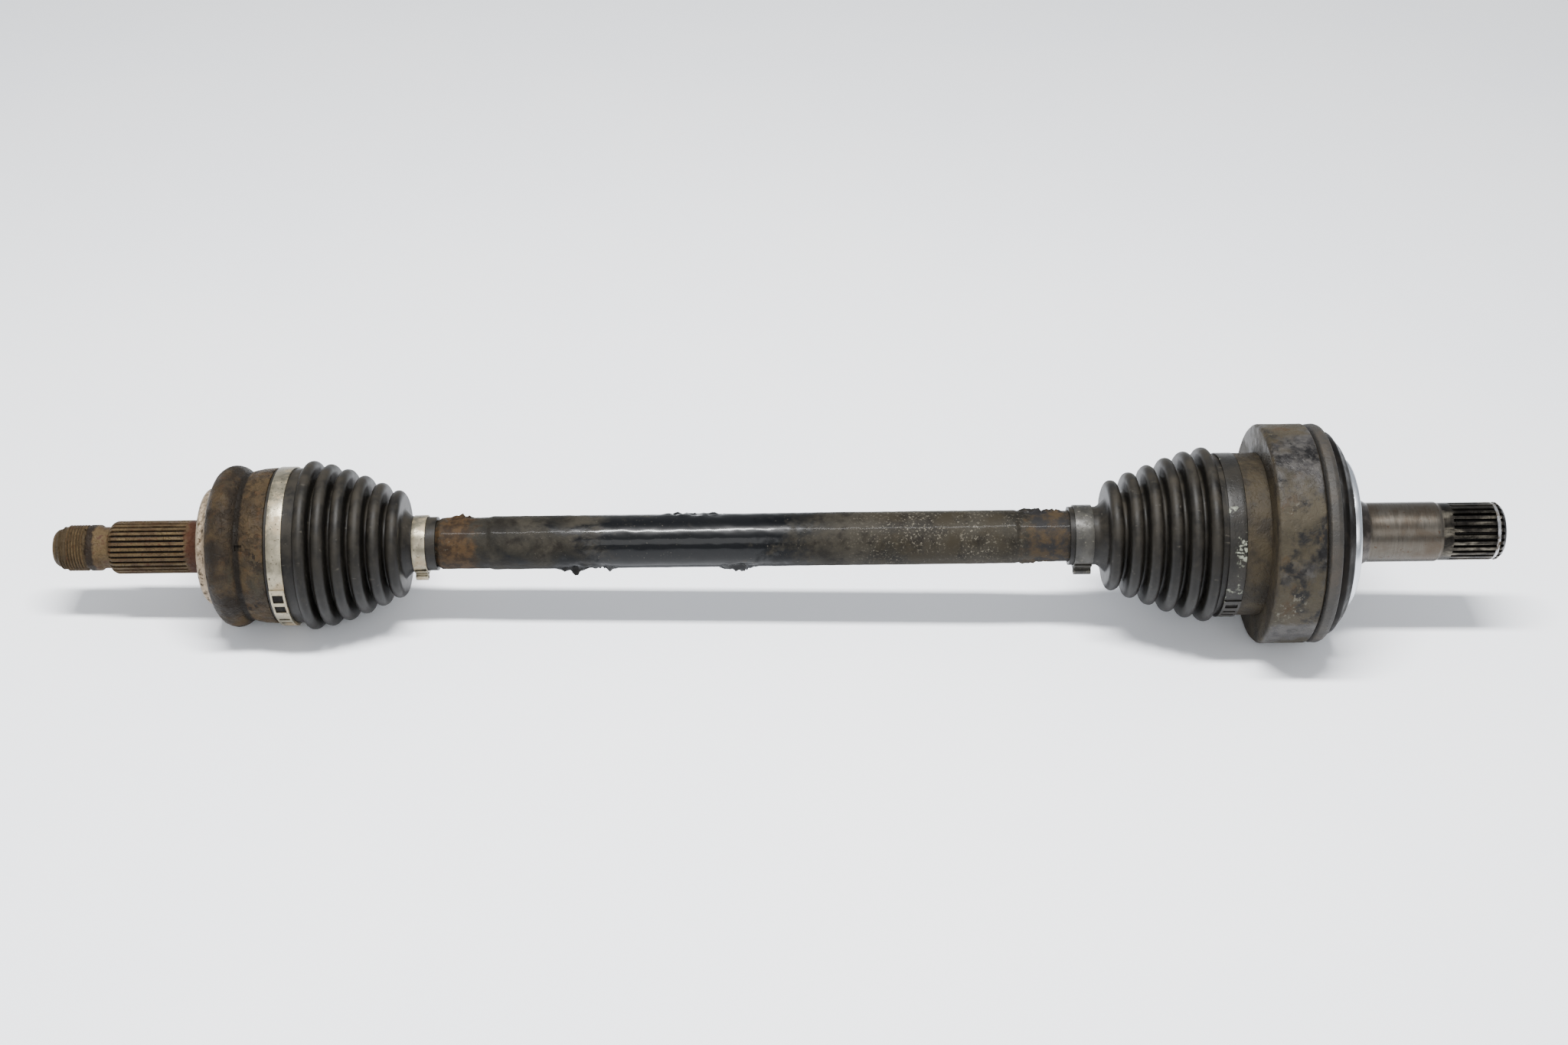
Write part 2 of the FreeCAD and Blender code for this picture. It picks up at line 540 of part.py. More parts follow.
def repeat_round(body, feature, axis, count):
    """Repeat a feature evenly about one of the body's axes."""
    pattern = body.newObject("PartDesign::PolarPattern", feature.Name + "_round")
    pattern.Originals = [feature]
    pattern.Axis = (origin_part(body, axis), [""])
    pattern.Angle = 360
    pattern.setExpression("Occurrences", "Sizes." + count)
    body.Tip = pattern
    doc.recompute()
    return pattern


def cut_spline(body, prefix, station, length, teeth):
    """Cut the grooves of a splined end."""
    groove = [
        (f"{prefix}_tooth_over_half_back", f"{prefix}_spline_over"),
        (f"{prefix}_tooth_root_half_back", f"{prefix}_spline_root"),
        (f"{prefix}_tooth_root_half", f"{prefix}_spline_root"),
        (f"{prefix}_tooth_over_half", f"{prefix}_spline_over"),
    ]
    sketch = draw_outline(body, "YZ_Plane", groove, station)
    pocket = cut_pocket(body, sketch, length)
    repeat_round(body, pocket, "X_Axis", teeth)


# ---------------------------------------------------------------- bar and what is fixed to it
def shaft_bar():
    """Bar of four diameters, with a clip groove near each end."""
    body = new_body("shaft_bar")
    sketch = draw_outline(body, "XY_Plane", [
        ("bar_outboard_end", None),
        ("bar_outboard_end", "bar_end_radius"),
        ("bar_outboard_end_edge", "bar_spline_radius"),
        ("outboard_clip_far", "bar_spline_radius"),
        ("outboard_clip_far", "bar_clip_bottom"),
        ("outboard_clip_near", "bar_clip_bottom"),
        ("outboard_clip_near", "bar_spline_radius"),
        ("race_seat_near", "bar_spline_radius"),
        ("race_seat_near", "bar_neck_radius"),
        ("bar_neck_end", "bar_neck_radius"),
        ("bar_neck_step", "bar_outboard_radius"),
        ("bar_middle_start", "bar_outboard_radius"),
        ("bar_middle_start_edge", "bar_radius"),
        ("bar_middle_end", "bar_radius"),
        ("bar_middle_end_edge", "bar_inboard_radius"),
        ("spider_seat_near", "bar_inboard_radius"),
        ("spider_seat_near", "bar_spline_radius"),
        ("inboard_clip_near", "bar_spline_radius"),
        ("inboard_clip_near", "bar_clip_bottom"),
        ("inboard_clip_far", "bar_clip_bottom"),
        ("inboard_clip_far", "bar_spline_radius"),
        ("bar_inboard_end_edge", "bar_spline_radius"),
        ("bar_inboard_end", "bar_end_radius"),
        ("bar_inboard_end", None),
    ])
    revolve(body, sketch)
    return body


def bar_clip(name, near, far):
    """Open ring in one of the bar's grooves."""
    body = new_body(name)
    sketch = draw_outline(body, "XY_Plane", [
        (near, "bar_clip_bottom"),
        (near, "bar_clip_top"),
        (far, "bar_clip_top"),
        (far, "bar_clip_bottom"),
    ])
    revolve(body, sketch, sweep="clip_sweep")
    return body


def outboard_race():
    """Inner race: a ball with a bore and six round tracks."""
    body = new_body("outboard_race", "outboard_x", turned=True)
    sketch = draw_outline(body, "XY_Plane", [
        ("race_back", "bar_spline_radius"),
        ("race_back", "race_rim_radius"),
        ("race_half_width", "race_rim_radius", "race_sphere_radius", -1),
        ("race_half_width", "bar_spline_radius"),
    ])
    revolve(body, sketch)
    cut_tracks(body, None, 0)
    return body


def cut_tracks(body, sweep, start):
    """Cut the ball tracks: rings of round section about the joint centre, the first at the top.

    A partial ring starts the given number of degrees up from the stub's direction.
    """
    ring = body.newObject("PartDesign::SubtractiveTorus", body.Name + "_track")
    ring.AttachmentSupport = (origin_part(body, "XZ_Plane"), [""])
    ring.MapMode = "FlatFace"
    ring.setExpression("Radius1", "Sizes.ball_pitch_radius")
    ring.setExpression("Radius2", "Sizes.track_radius")
    if sweep:
        ring.AttachmentOffset = Placement(Vector(), Rotation(Vector(0, 0, 1), start))
        ring.setExpression("Angle3", "Sizes." + sweep)
    doc.recompute()
    repeat_round(body, ring, "X_Axis", "ball_count")


def spider():
    """Hub with three pins, each with a groove for its retaining ring."""
    body = new_body("spider", "half_span")
    hub = draw_outline(body, "XY_Plane", [
        ("spider_back", "bar_spline_radius"),
        ("spider_back", "spider_hub_radius"),
        ("spider_half_width", "spider_hub_radius"),
        ("spider_half_width", "bar_spline_radius"),
    ])
    revolve(body, hub)
    pin = draw_outline(body, "XZ_Plane", [
        (None, "spider_pin_foot"),
        ("trunnion_foot_radius", "spider_pin_foot"),
        ("trunnion_foot_radius", "trunnion_step"),
        ("trunnion_radius", "trunnion_step"),
        ("trunnion_radius", "retainer_bottom"),
        ("retainer_inner", "retainer_bottom"),
        ("retainer_inner", "retainer_top"),
        ("trunnion_tip_radius", "retainer_top"),
        ("trunnion_tip_radius", "trunnion_tip"),
        (None, "trunnion_tip"),
    ])
    pins = revolve(body, pin, "V_Axis")
    repeat_round(body, pins, "X_Axis", "trunnion_count")
    return body


def roller_retainers():
    """Closed rings that keep the rollers on their pins."""
    body = new_body("roller_retainers", "half_span")
    sketch = draw_outline(body, "XZ_Plane", [
        ("retainer_inner", "retainer_bottom"),
        ("retainer_outer", "retainer_bottom"),
        ("retainer_outer", "retainer_top"),
        ("retainer_inner", "retainer_top"),
    ])
    ring = revolve(body, sketch, "V_Axis")
    repeat_round(body, ring, "X_Axis", "trunnion_count")


def clamp(name, centre, turned, angle, low_hook):
    """Band round a boot, closed by an eye that stands up or by a low hook with two slots."""
    body = new_body(f"{name}_clamp", centre, turned, angle)
    band = draw_outline(body, "XY_Plane", [
        (f"{name}_clamp_start", f"{name}_clamp_bore"),
        (f"{name}_clamp_start", f"{name}_clamp_outside"),
        (f"{name}_clamp_end", f"{name}_clamp_outside"),
        (f"{name}_clamp_end", f"{name}_clamp_bore"),
    ])
    revolve(body, band)
    part = "hook" if low_hook else "ear"
    block = draw_outline(body, "YZ_Plane", [
        (f"{part}_half_back", f"{name}_clamp_inside"),
        (f"{part}_half_back", f"{name}_{part}_top"),
        (f"{part}_half", f"{name}_{part}_top"),
        (f"{part}_half", f"{name}_clamp_inside"),
    ], f"{name}_clamp_start")
    pad = body.newObject("PartDesign::Pad", f"{name}_{part}")
    pad.Profile = block
    pad.setExpression("Length", f"Sizes.{name}_clamp_width")
    doc.recompute()
    if low_hook:
        cut_hook_slots(body, name)
    else:
        cut_eye(body, name)
    return body


def cut_eye(body, name):
    """Hollow of a standing ear."""
    eye = draw_outline(body, "YZ_Plane", [
        ("eye_half_back", f"{name}_clamp_outside"),
        ("eye_half_back", f"{name}_eye_top"),
        ("eye_half", f"{name}_eye_top"),
        ("eye_half", f"{name}_clamp_outside"),
    ], f"{name}_clamp_end")
    cut_pocket(body, eye, f"{name}_clamp_width")


def cut_hook_slots(body, name):
    """Two shallow slots across a low hook."""
    for slot in ("slot_one", "slot_two"):
        outline = draw_outline(body, "YZ_Plane", [
            (f"{slot}_start", f"{name}_slot_bottom"),
            (f"{slot}_start", f"{name}_slot_over"),
            (f"{slot}_end", f"{name}_slot_over"),
            (f"{slot}_end", f"{name}_slot_bottom"),
        ], f"{name}_slot_station")
        cut_pocket(body, outline, f"{name}_slot_length")


# ---------------------------------------------------------------- ball joint
def outboard_cage():
    """Spherical shell with a window for each ball."""
    body = new_body("outboard_cage", "outboard_x", turned=True)
    shell = draw_outline(body, "XY_Plane", [
        ("cage_back", "cage_rim_inner", "cage_inner_radius", 1),
        ("cage_back", "cage_rim_outer"),
        ("cage_half_width", "cage_rim_outer", "cage_outer_radius", -1),
        ("cage_half_width", "cage_rim_inner"),
    ])
    revolve(body, shell)
    window = draw_outline(body, "XY_Plane", [
        ("window_half_length_back", "window_half_width_back"),
        ("window_half_length", "window_half_width_back"),
        ("window_half_length", "window_half_width"),
        ("window_half_length_back", "window_half_width"),
    ], "cage_over_radius")
    pocket = cut_pocket(body, window, "cage_over_radius")
    repeat_round(body, pocket, "X_Axis", "ball_count")


def ball(name, angle):
    """Ball at an angle from the top, over the front."""
    sphere = doc.addObject("Part::Sphere", name)
    sphere.Label = name
    sphere.setExpression("Radius", "Sizes.ball_radius")
    sphere.setExpression("Placement.Base.x", "Sizes.outboard_x")
    sphere.setExpression("Placement.Base.y", f"-Sizes.ball_pitch_radius * sin({angle} deg)")
    sphere.setExpression("Placement.Base.z", f"Sizes.ball_pitch_radius * cos({angle} deg)")
    return sphere


def balls():
    """Top and bottom balls, and the others, which ride with the cage."""
    count = int(size("ball_count"))
    side_balls = []
    for number in range(count):
        angle = number * 360 / count
        if angle == 0:
            ball("outboard_ball_top", angle)
        elif angle == 180:
            ball("outboard_ball_bottom", angle)
        else:
            side_balls.append(ball(f"side_ball_{number}", angle))
    group = doc.addObject("Part::Compound", "outboard_balls_side")
    group.Label = "outboard_balls_side"
    group.Links = side_balls


def outboard_bell():
    """Bell with six tracks, the bead and hub shoulder, and the splined, threaded wheel stub."""
    body = new_body("outboard_bell", "outboard_x", turned=True)
    sketch = draw_outline(body, "XY_Plane", [
        ("bell_floor", None),
        ("bell_floor", "bell_floor_radius"),
        ("bell_sphere_end", "bell_sphere_end_radius", "bell_sphere_radius", 1),
        ("bell_mouth", "bell_mouth_radius"),
        ("bell_mouth", "bell_mouth_edge_radius"),
        ("bell_mouth_edge", "bell_seat_radius"),
        ("bell_seat_end", "bell_seat_radius"),
        ("bell_seat_end", "bell_body_radius"),
        ("bell_waist_start", "bell_waist_edge_radius"),
        ("bead_start", "bell_waist_radius"),
        ("bead_peak", "bead_radius", "bead_bar_round", -1),
        ("bead_flank_end", "bead_flank_radius", "bead_wheel_round", -1),
        ("bead_end", "shoulder_radius"),
        ("shoulder_end", "shoulder_radius"),
        ("hub_face", "hub_face_radius"),
        ("hub_face", "stub_root_radius"),
        ("stub_root_end", "hub_spline_radius"),
        ("hub_spline_end", "hub_spline_radius"),
        ("neck_start", "neck_radius"),
        ("neck_end", "neck_radius"),
        ("thread_shank_start", "thread_radius"),
        ("thread_end", "thread_radius"),
        ("stub_tip", "stub_tip_radius"),
        ("stub_tip", None),
    ])
    revolve(body, sketch)
    cut_tracks(body, "track_sweep", 90 - size("track_end_angle"))
    cut_spline(body, "hub", "neck_start", "hub_groove_length", "hub_spline_teeth")
    groove = draw_outline(body, "XY_Plane", [
        ("thread_groove_start", "thread_over_radius"),
        ("thread_groove_middle", "thread_root_radius"),
        ("thread_groove_end", "thread_over_radius"),
    ])
    repeat_along(body, cut_groove(body, groove), "thread_run", "thread_count")


def repeat_along(body, feature, run, count):
    """Repeat a feature evenly along the axle."""
    pattern = body.newObject("PartDesign::LinearPattern", feature.Name + "_row")
    pattern.Originals = [feature]
    pattern.Direction = (origin_part(body, "X_Axis"), [""])
    pattern.setExpression("Length", "Sizes." + run)
    pattern.setExpression("Occurrences", "Sizes." + count)
    body.Tip = pattern
    doc.recompute()


# ---------------------------------------------------------------- tripod joint
def roller(name, angle):
    """Crowned roller on one of the spider's pins."""
    body = new_body(name, "half_span", roll=angle)
    sketch = draw_outline(body, "XZ_Plane", [
        ("roller_bore", "roller_bottom"),
        ("roller_face_radius", "roller_bottom"),
        ("roller_face_radius", "roller_top_station", "roller_radius", 1),
        ("roller_bore", "roller_top_station"),
    ])
    revolve(body, sketch, "V_Axis")


def needles(name, angle):
    """Full ring of needles between a pin and its roller."""
    body = new_body(name, "half_span", roll=angle)
    needle = body.newObject("PartDesign::AdditiveCylinder", name + "_first")
    needle.AttachmentSupport = (origin_part(body, "XY_Plane"), [""])
    needle.MapMode = "FlatFace"
    needle.setExpression("Radius", "Sizes.needle_radius")
    needle.setExpression("Height", "Sizes.needle_length")
    needle.setExpression("AttachmentOffset.Base.x", "Sizes.needle_pitch_radius")
    needle.setExpression("AttachmentOffset.Base.z", "Sizes.needle_bottom")
    doc.recompute()
    repeat_round(body, needle, "Z_Axis", "needle_count")


def inboard_housing():
    """Housing with three roller tracks, open at both ends."""
    body = new_body("inboard_housing", "half_span")
    tube = draw_outline(body, "XY_Plane", [
        ("housing_mouth", "housing_bore"),
        ("housing_mouth", "housing_seat_radius"),
        ("housing_shoulder", "housing_seat_radius"),
        ("housing_shoulder", "housing_radius"),
        ("ring_end", "housing_radius"),
        ("ring_end", "housing_bore"),
    ])
    revolve(body, tube)
    track = draw_outline(body, "YZ_Plane", [
        ("track_foot_y_back", "track_foot_z"),
        ("track_corner_y_back", "track_corner_z", "track_side_radius", -1),
        ("track_corner_y", "track_corner_z", "track_floor_radius", -1),
        ("track_foot_y", "track_foot_z", "track_side_radius", -1),
    ], "ring_end")
    pocket = cut_pocket(body, track, "housing_length")
    repeat_round(body, pocket, "X_Axis", "trunnion_count")


def turned_piece(name, centre, turned, outline, sweep=None):
    """Piece made by turning one outline about the axle."""
    body = new_body(name, centre, turned)
    sketch = draw_outline(body, "XY_Plane", outline)
    revolve(body, sketch, sweep=sweep)
    return body


def inboard_ring():
    """Broad ring pressed over the housing."""
    turned_piece("inboard_ring", "half_span", False, [
        ("ring_start", "housing_radius"),
        ("ring_start", "ring_edge_radius"),
        ("ring_inner_edge", "ring_radius"),
        ("ring_outer_edge", "ring_radius"),
        ("ring_end", "ring_edge_radius"),
        ("ring_end", "housing_radius"),
    ])


def inboard_stub():
    """Flange that closes the housing, seal seat, journal and splined differential stub."""
    body = turned_piece("inboard_stub", "half_span", False, [
        ("recess_end", None),
        ("recess_end", "recess_radius"),
        ("ring_end", "recess_radius"),
        ("ring_end", "ring_edge_radius"),
        ("flange_edge_start", "ring_radius"),
        ("flange_end", "flange_edge_radius"),
        ("flange_end", "seal_seat_radius"),
        ("seal_seat_end", "seal_seat_radius"),
        ("seal_seat_end", "spigot_radius"),
        ("wear_ring_end", "spigot_radius"),
        ("wear_ring_end", "root_foot_radius"),
        ("root_station", "root_radius"),
        ("journal_start", "journal_radius"),
        ("journal_end", "journal_radius"),
        ("journal_edge", "diff_spline_radius"),
        ("diff_clip_start", "diff_spline_radius"),
        ("diff_clip_start", "diff_clip_bottom"),
        ("diff_clip_end", "diff_clip_bottom"),
        ("diff_clip_end", "diff_spline_radius"),
        ("diff_tip_edge", "diff_spline_radius"),
        ("diff_tip", "diff_tip_radius"),
        ("diff_tip", None),
    ])
    cut_spline(body, "diff", "diff_tip", "diff_groove_length", "diff_spline_teeth")


def inboard_dust_seal():
    """Rubber seal behind the flange."""
    turned_piece("inboard_dust_seal", "half_span", False, [
        ("flange_end", "seal_seat_radius"),
        ("flange_end", "seal_radius"),
        ("seal_lip_start", "seal_radius"),
        ("seal_seat_end", "seal_lip_radius"),
        ("seal_seat_end", "seal_seat_radius"),
    ])


def inboard_wear_ring():
    """Machined ring on the stub's spigot."""
    turned_piece("inboard_wear_ring", "half_span", False, [
        ("wear_ring_start", "spigot_radius"),
        ("wear_ring_start", "wear_ring_radius"),
        ("wear_ring_edge", "wear_ring_radius"),
        ("wear_ring_end", "wear_ring_edge_radius"),
        ("wear_ring_end", "spigot_radius"),
    ])


def diff_stub_clip():
    """Open ring that holds the stub in the differential."""
    turned_piece("diff_stub_clip", "half_span", False, [
        ("diff_clip_start", "diff_clip_bottom"),
        ("diff_clip_start", "diff_clip_top"),
        ("diff_clip_end", "diff_clip_top"),
        ("diff_clip_end", "diff_clip_bottom"),
    ], "clip_sweep")


# ---------------------------------------------------------------- boots
def boot(side, centre, turned, seat_start, seat_end):
    """Bellows: a seat at the joint, folds that shrink towards the bar, and a neck on the bar."""
    outside = [
        (seat_end, f"{side}_boot_bore"),
        (seat_end, f"{side}_boot_outside"),
        (seat_start, f"{side}_boot_outside"),
    ]
    inside = [(seat_start, f"{side}_boot_bore")]
    for fold in range(int(size("fold_count"))):
        top = f"{side}_top_{fold}"
        bottom = f"{side}_bottom_{fold}"
        outside += [(f"{top}_high", f"{top}_r"), (f"{top}_low", f"{top}_r")]
        inside += [(f"{top}_inner_high", f"{top}_inner_r"), (f"{top}_inner_low", f"{top}_inner_r")]
        if fold < int(size("fold_count")) - 1:
            outside += [(f"{bottom}_high", f"{bottom}_r"), (f"{bottom}_low", f"{bottom}_r")]
            inside += [(f"{bottom}_inner_high", f"{bottom}_inner_r"),
                       (f"{bottom}_inner_low", f"{bottom}_inner_r")]
    outside += [
        (f"{side}_neck_start", f"{side}_neck_outside"),
        (f"{side}_neck_end", f"{side}_neck_outside"),
    ]
    inside += [
        (f"{side}_neck_inner_start", f"{side}_neck_bore"),
        (f"{side}_neck_end", f"{side}_neck_bore"),
    ]
    turned_piece(f"{side}_boot", centre, turned, outside + inside[::-1])


# ---------------------------------------------------------------- the whole axle
def build():
    """Make every piece."""
    shaft_bar()
    bar_clip("outboard_race_clip", "outboard_clip_far", "outboard_clip_near")
    outboard_race()
    outboard_cage()
    balls()
    outboard_bell()
    boot("outboard", "outboard_x", True, "bell_mouth", "bell_boot_end")
    clamp("outboard_large", "outboard_x", True, size("outboard_hook_angle"), True)
    clamp("outboard_small", "outboard_x", True, size("small_ear_angle"), False)
    spider()
    bar_clip("spider_clip", "inboard_clip_near", "inboard_clip_far")
    roller_retainers()
    pitch = 360 / size("trunnion_count")
    for number, place in enumerate(("top", "front", "back")):
        roller(f"roller_{place}", pitch * number)
        needles(f"needles_{place}", pitch * number)
    inboard_housing()
    inboard_ring()
    inboard_stub()
    inboard_dust_seal()
    inboard_wear_ring()
    diff_stub_clip()
    boot("inboard", "half_span", False, "housing_mouth", "housing_boot_end")
    clamp("inboard_large", "half_span", False, size("inboard_hook_angle"), True)
    clamp("inboard_small", "half_span", False, size("small_ear_angle"), False)


def sub_parts():
    """The pieces that are written out: bodies, loose balls and the group of balls."""
    kept = []
    for item in doc.Objects:
        loose = item.isDerivedFrom("Part::Sphere") and not item.Name.startswith("side_ball")
        if item.TypeId in ("PartDesign::Body", "Part::Compound") or loose:
            kept.append(item)
    return kept


def check(pieces):
    """Stop on a failed feature or a piece with no valid shape."""
    for item in doc.Objects:
        if "Invalid" in item.State or "Error" in item.State:
            raise RuntimeError(f"{item.Name} failed: {item.State}")
    for piece in pieces:
        shape = piece.Shape
        if shape.isNull() or not shape.isValid() or not shape.Solids:
            raise RuntimeError(f"{piece.Label} has no valid shape")
        print(f"{piece.Label:24s} {len(shape.Solids):3d} solids {shape.Volume:12.1f} mm3")


sheet_rows()
build()
doc.recompute()
pieces = sub_parts()
check(pieces)
os.makedirs("parts", exist_ok=True)
for piece in pieces:
    piece.Shape.exportStep(f"parts/{piece.Label}.step")
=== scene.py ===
import math
import bpy
from mathutils import Matrix, Vector


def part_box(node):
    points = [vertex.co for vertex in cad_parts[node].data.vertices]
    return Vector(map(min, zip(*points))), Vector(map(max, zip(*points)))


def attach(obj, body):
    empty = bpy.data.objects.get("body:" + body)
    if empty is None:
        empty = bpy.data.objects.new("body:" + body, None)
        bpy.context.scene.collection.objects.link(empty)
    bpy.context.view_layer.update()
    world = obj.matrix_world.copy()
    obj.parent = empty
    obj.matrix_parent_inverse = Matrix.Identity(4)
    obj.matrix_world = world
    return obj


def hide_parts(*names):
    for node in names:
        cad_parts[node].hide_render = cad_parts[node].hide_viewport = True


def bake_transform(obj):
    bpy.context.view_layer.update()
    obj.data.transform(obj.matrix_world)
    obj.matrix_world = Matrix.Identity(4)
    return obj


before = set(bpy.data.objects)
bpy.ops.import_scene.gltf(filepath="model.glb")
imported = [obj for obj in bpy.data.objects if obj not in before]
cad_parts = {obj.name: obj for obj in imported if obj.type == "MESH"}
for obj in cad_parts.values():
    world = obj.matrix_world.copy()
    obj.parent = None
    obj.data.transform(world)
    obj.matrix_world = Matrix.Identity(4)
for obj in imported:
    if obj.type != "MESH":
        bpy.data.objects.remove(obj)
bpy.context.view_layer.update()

# ------------------------------------------------------------------ bar
# The bar between the two joints: one length of steel in four diameters, turned, hardened and dipped in
# black paint. The paint still shines in the middle. Towards both ends it is stained, flaked and rusty.
mm = 0.001
wheel_centre = sum(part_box("outboard_ball_top"), Vector()).x / 2
diff_centre = sum(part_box("roller_top"), Vector()).x / 2
bar_low, bar_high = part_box("shaft_bar")


def divide(points, step):
    """Chain of points with more of them put in, so that none is further than a step from the next."""
    divided = [points[0]]
    for before, point in zip(points, points[1:]):
        reach = Vector(point) - Vector(before)
        parts = max(1, math.ceil(reach.length / step))
        divided += [tuple(Vector(before) + reach * part / parts) for part in range(1, parts + 1)]
    return divided


def eased(outline, width, step):
    """Closed or open outline with its corners rounded off and its long stretches divided."""
    points = [outline[0]]
    for before, corner, after in zip(outline, outline[1:], outline[2:]):
        corner = Vector(corner)
        back = Vector(before) - corner
        ahead = Vector(after) - corner
        cut = min(width, back.length * 0.4, ahead.length * 0.4)
        start = corner + back.normalized() * cut
        end = corner + ahead.normalized() * cut
        points += [tuple(start), tuple((start + corner * 2 + end) / 4), tuple(end)]
    points.append(outline[-1])
    return divide(points, step)


def drawn_line(name, places):
    """Piece in edit mode that is one chain of edges, each point drawn out of the one before it."""
    bpy.ops.object.select_all(action="DESELECT")
    bpy.ops.mesh.primitive_plane_add(size=mm)
    piece = bpy.context.active_object
    piece.name = piece.data.name = name
    bpy.ops.object.mode_set(mode="EDIT")
    bpy.ops.mesh.select_mode(type="VERT")
    bpy.ops.mesh.select_all(action="SELECT")
    bpy.ops.mesh.merge(type="CENTER")
    bpy.ops.transform.translate(value=places[0])
    for before, place in zip(places, places[1:]):
        bpy.ops.mesh.extrude_region_move(TRANSFORM_OT_translate={"value": Vector(place) - Vector(before)})
    bpy.ops.mesh.select_all(action="SELECT")
    return piece


def turned(name, outline, steps, sweep=math.tau, start=0.0):
    """Piece turned about the axle from points of (place along the axle, radius)."""
    piece = drawn_line(name, [place_on(point, start) for point in outline])
    bpy.ops.mesh.spin(steps=steps, angle=-sweep, center=(0, 0, 0), axis=(1, 0, 0))
    bpy.ops.mesh.select_all(action="SELECT")
    bpy.ops.mesh.remove_doubles(threshold=0.01 * mm)
    bpy.ops.mesh.normals_make_consistent(inside=False)
    bpy.ops.object.mode_set(mode="OBJECT")
    return piece


def place_on(point, around):
    """Place of a point of an outline, an angle round from the top over the front."""
    return (point[0], -point[1] * math.sin(around), point[1] * math.cos(around))


def around_axle(place):
    """Angle of a place round the axle, from the top over the front."""
    return math.atan2(-place.y, place.z)


def off_axle(place):
    """Distance of a place from the axle's line."""
    return math.hypot(place.y, place.z)


def roughen(piece, depth, grain, weights=None, contrast=1.0):
    """Push the surface in and out a little, all over or by a weight for each point."""
    texture = bpy.data.textures.new(piece.name + "_unevenness", "CLOUDS")
    texture.noise_scale = grain
    texture.noise_depth = 3
    texture.contrast = contrast
    modifier = piece.modifiers.new("unevenness", "DISPLACE")
    modifier.texture = texture
    modifier.strength = depth
    modifier.texture_coords = "LOCAL"
    if weights:
        group = piece.vertex_groups.new(name="uneven")
        for vertex in piece.data.vertices:
            group.add([vertex.index], weights(vertex.co), "REPLACE")
        modifier.vertex_group = group.name
    apply_modifier(piece, modifier)
    if weights:
        piece.vertex_groups.clear()


def make_active(piece):
    """Select this piece and nothing else."""
    bpy.ops.object.select_all(action="DESELECT")
    piece.select_set(True)
    bpy.context.view_layer.objects.active = piece


def apply_modifier(piece, modifier):
    """Apply one modifier of a piece."""
    make_active(piece)
    bpy.ops.object.modifier_apply(modifier=modifier.name)


def finish_smooth(piece, angle=35):
    """Smooth shading, with creases where faces meet at more than the angle."""
    make_active(piece)
    bpy.ops.object.shade_smooth_by_angle(angle=math.radians(angle))


def wheel_place(station):
    """Place along the axle of a station outwards from the wheel joint's centre."""
    return wheel_centre - station * mm


def diff_place(station):
    """Place along the axle of a station outwards from the differential joint's centre."""
    return diff_centre + station * mm


def in_mm(points):
    """Outline whose points are given in millimetres."""
    return [(along * mm, out * mm) for along, out in points]


bar_radius = bar_high.z
seat_radius = 11.5 * mm
neck_radius = 12.0 * mm
wheel_end_radius = 13.4 * mm
diff_end_radius = 13.2 * mm
clip_groove_radius = 10.2 * mm
bar_chamfer = 1.2 * mm
race_clip_low, race_clip_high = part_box("outboard_race_clip")
spider_clip_low, spider_clip_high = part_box("spider_clip")
bar_outline = eased([
    (bar_low.x, 0),
    (bar_low.x, seat_radius - bar_chamfer),
    (bar_low.x + bar_chamfer, seat_radius),
    (race_clip_low.x, seat_radius),
    (race_clip_low.x, clip_groove_radius),
    (race_clip_high.x, clip_groove_radius),
    (race_clip_high.x, seat_radius),
    (wheel_place(-11.0), seat_radius),
    (wheel_place(-11.0), neck_radius),
    (wheel_place(-88.6), neck_radius),
    (wheel_place(-90.6), wheel_end_radius),
    (wheel_place(-115.4), wheel_end_radius),
    (wheel_place(-117.4), bar_radius),
    (diff_place(-130.6), bar_radius),
    (diff_place(-128.6), diff_end_radius),
    (diff_place(-12.0), diff_end_radius),
    (diff_place(-12.0), seat_radius),
    (spider_clip_low.x, seat_radius),
    (spider_clip_low.x, clip_groove_radius),
    (spider_clip_high.x, clip_groove_radius),
    (spider_clip_high.x, seat_radius),
    (bar_high.x - bar_chamfer, seat_radius),
    (bar_high.x, seat_radius - bar_chamfer),
    (bar_high.x, 0),
], 0.4 * mm, 1.5 * mm)
bar_steps = 96
bar = turned("bar", bar_outline, bar_steps)

# Places where the paint has lifted in flakes: start, end, degrees round from the top, and how far.
flakes = [
    (-168 * mm, -152 * mm, -33, 0.8),
    (-110 * mm, -78 * mm, 143, 1.0),
    (-55 * mm, -20 * mm, -36, 0.35),
    (-26 * mm, -4 * mm, 146, 0.9),
    (130 * mm, 156 * mm, -34, 1.0),
    (128 * mm, 152 * mm, 146, 0.4),
]
flake_reach = math.radians(34)
flake_edge = 5 * mm


def flake_weight(place):
    """How far the paint has lifted at a place on the bar."""
    weight = 0.0
    for start, end, degrees, lift in flakes:
        turn = abs((around_axle(place) - math.radians(degrees) + math.pi) % math.tau - math.pi)
        along = min(place.x - start, end - place.x) / flake_edge
        weight = max(weight, lift * min(1.0, along) * max(0.0, 1 - turn / flake_reach))
    return weight


def open_weight(place):
    """All of the bar that stands in the open, and none of what is inside the joints."""
    reach = min(place.x - wheel_place(-92.0), diff_place(-104.0) - place.x)
    return max(0.0, min(1.0, reach / flake_edge))


roughen(bar, 0.3 * mm, 5 * mm, open_weight)
roughen(bar, 5.5 * mm, 4.2 * mm, flake_weight, contrast=2.5)
finish_smooth(bar, 50)

lamp_gain = 4.5


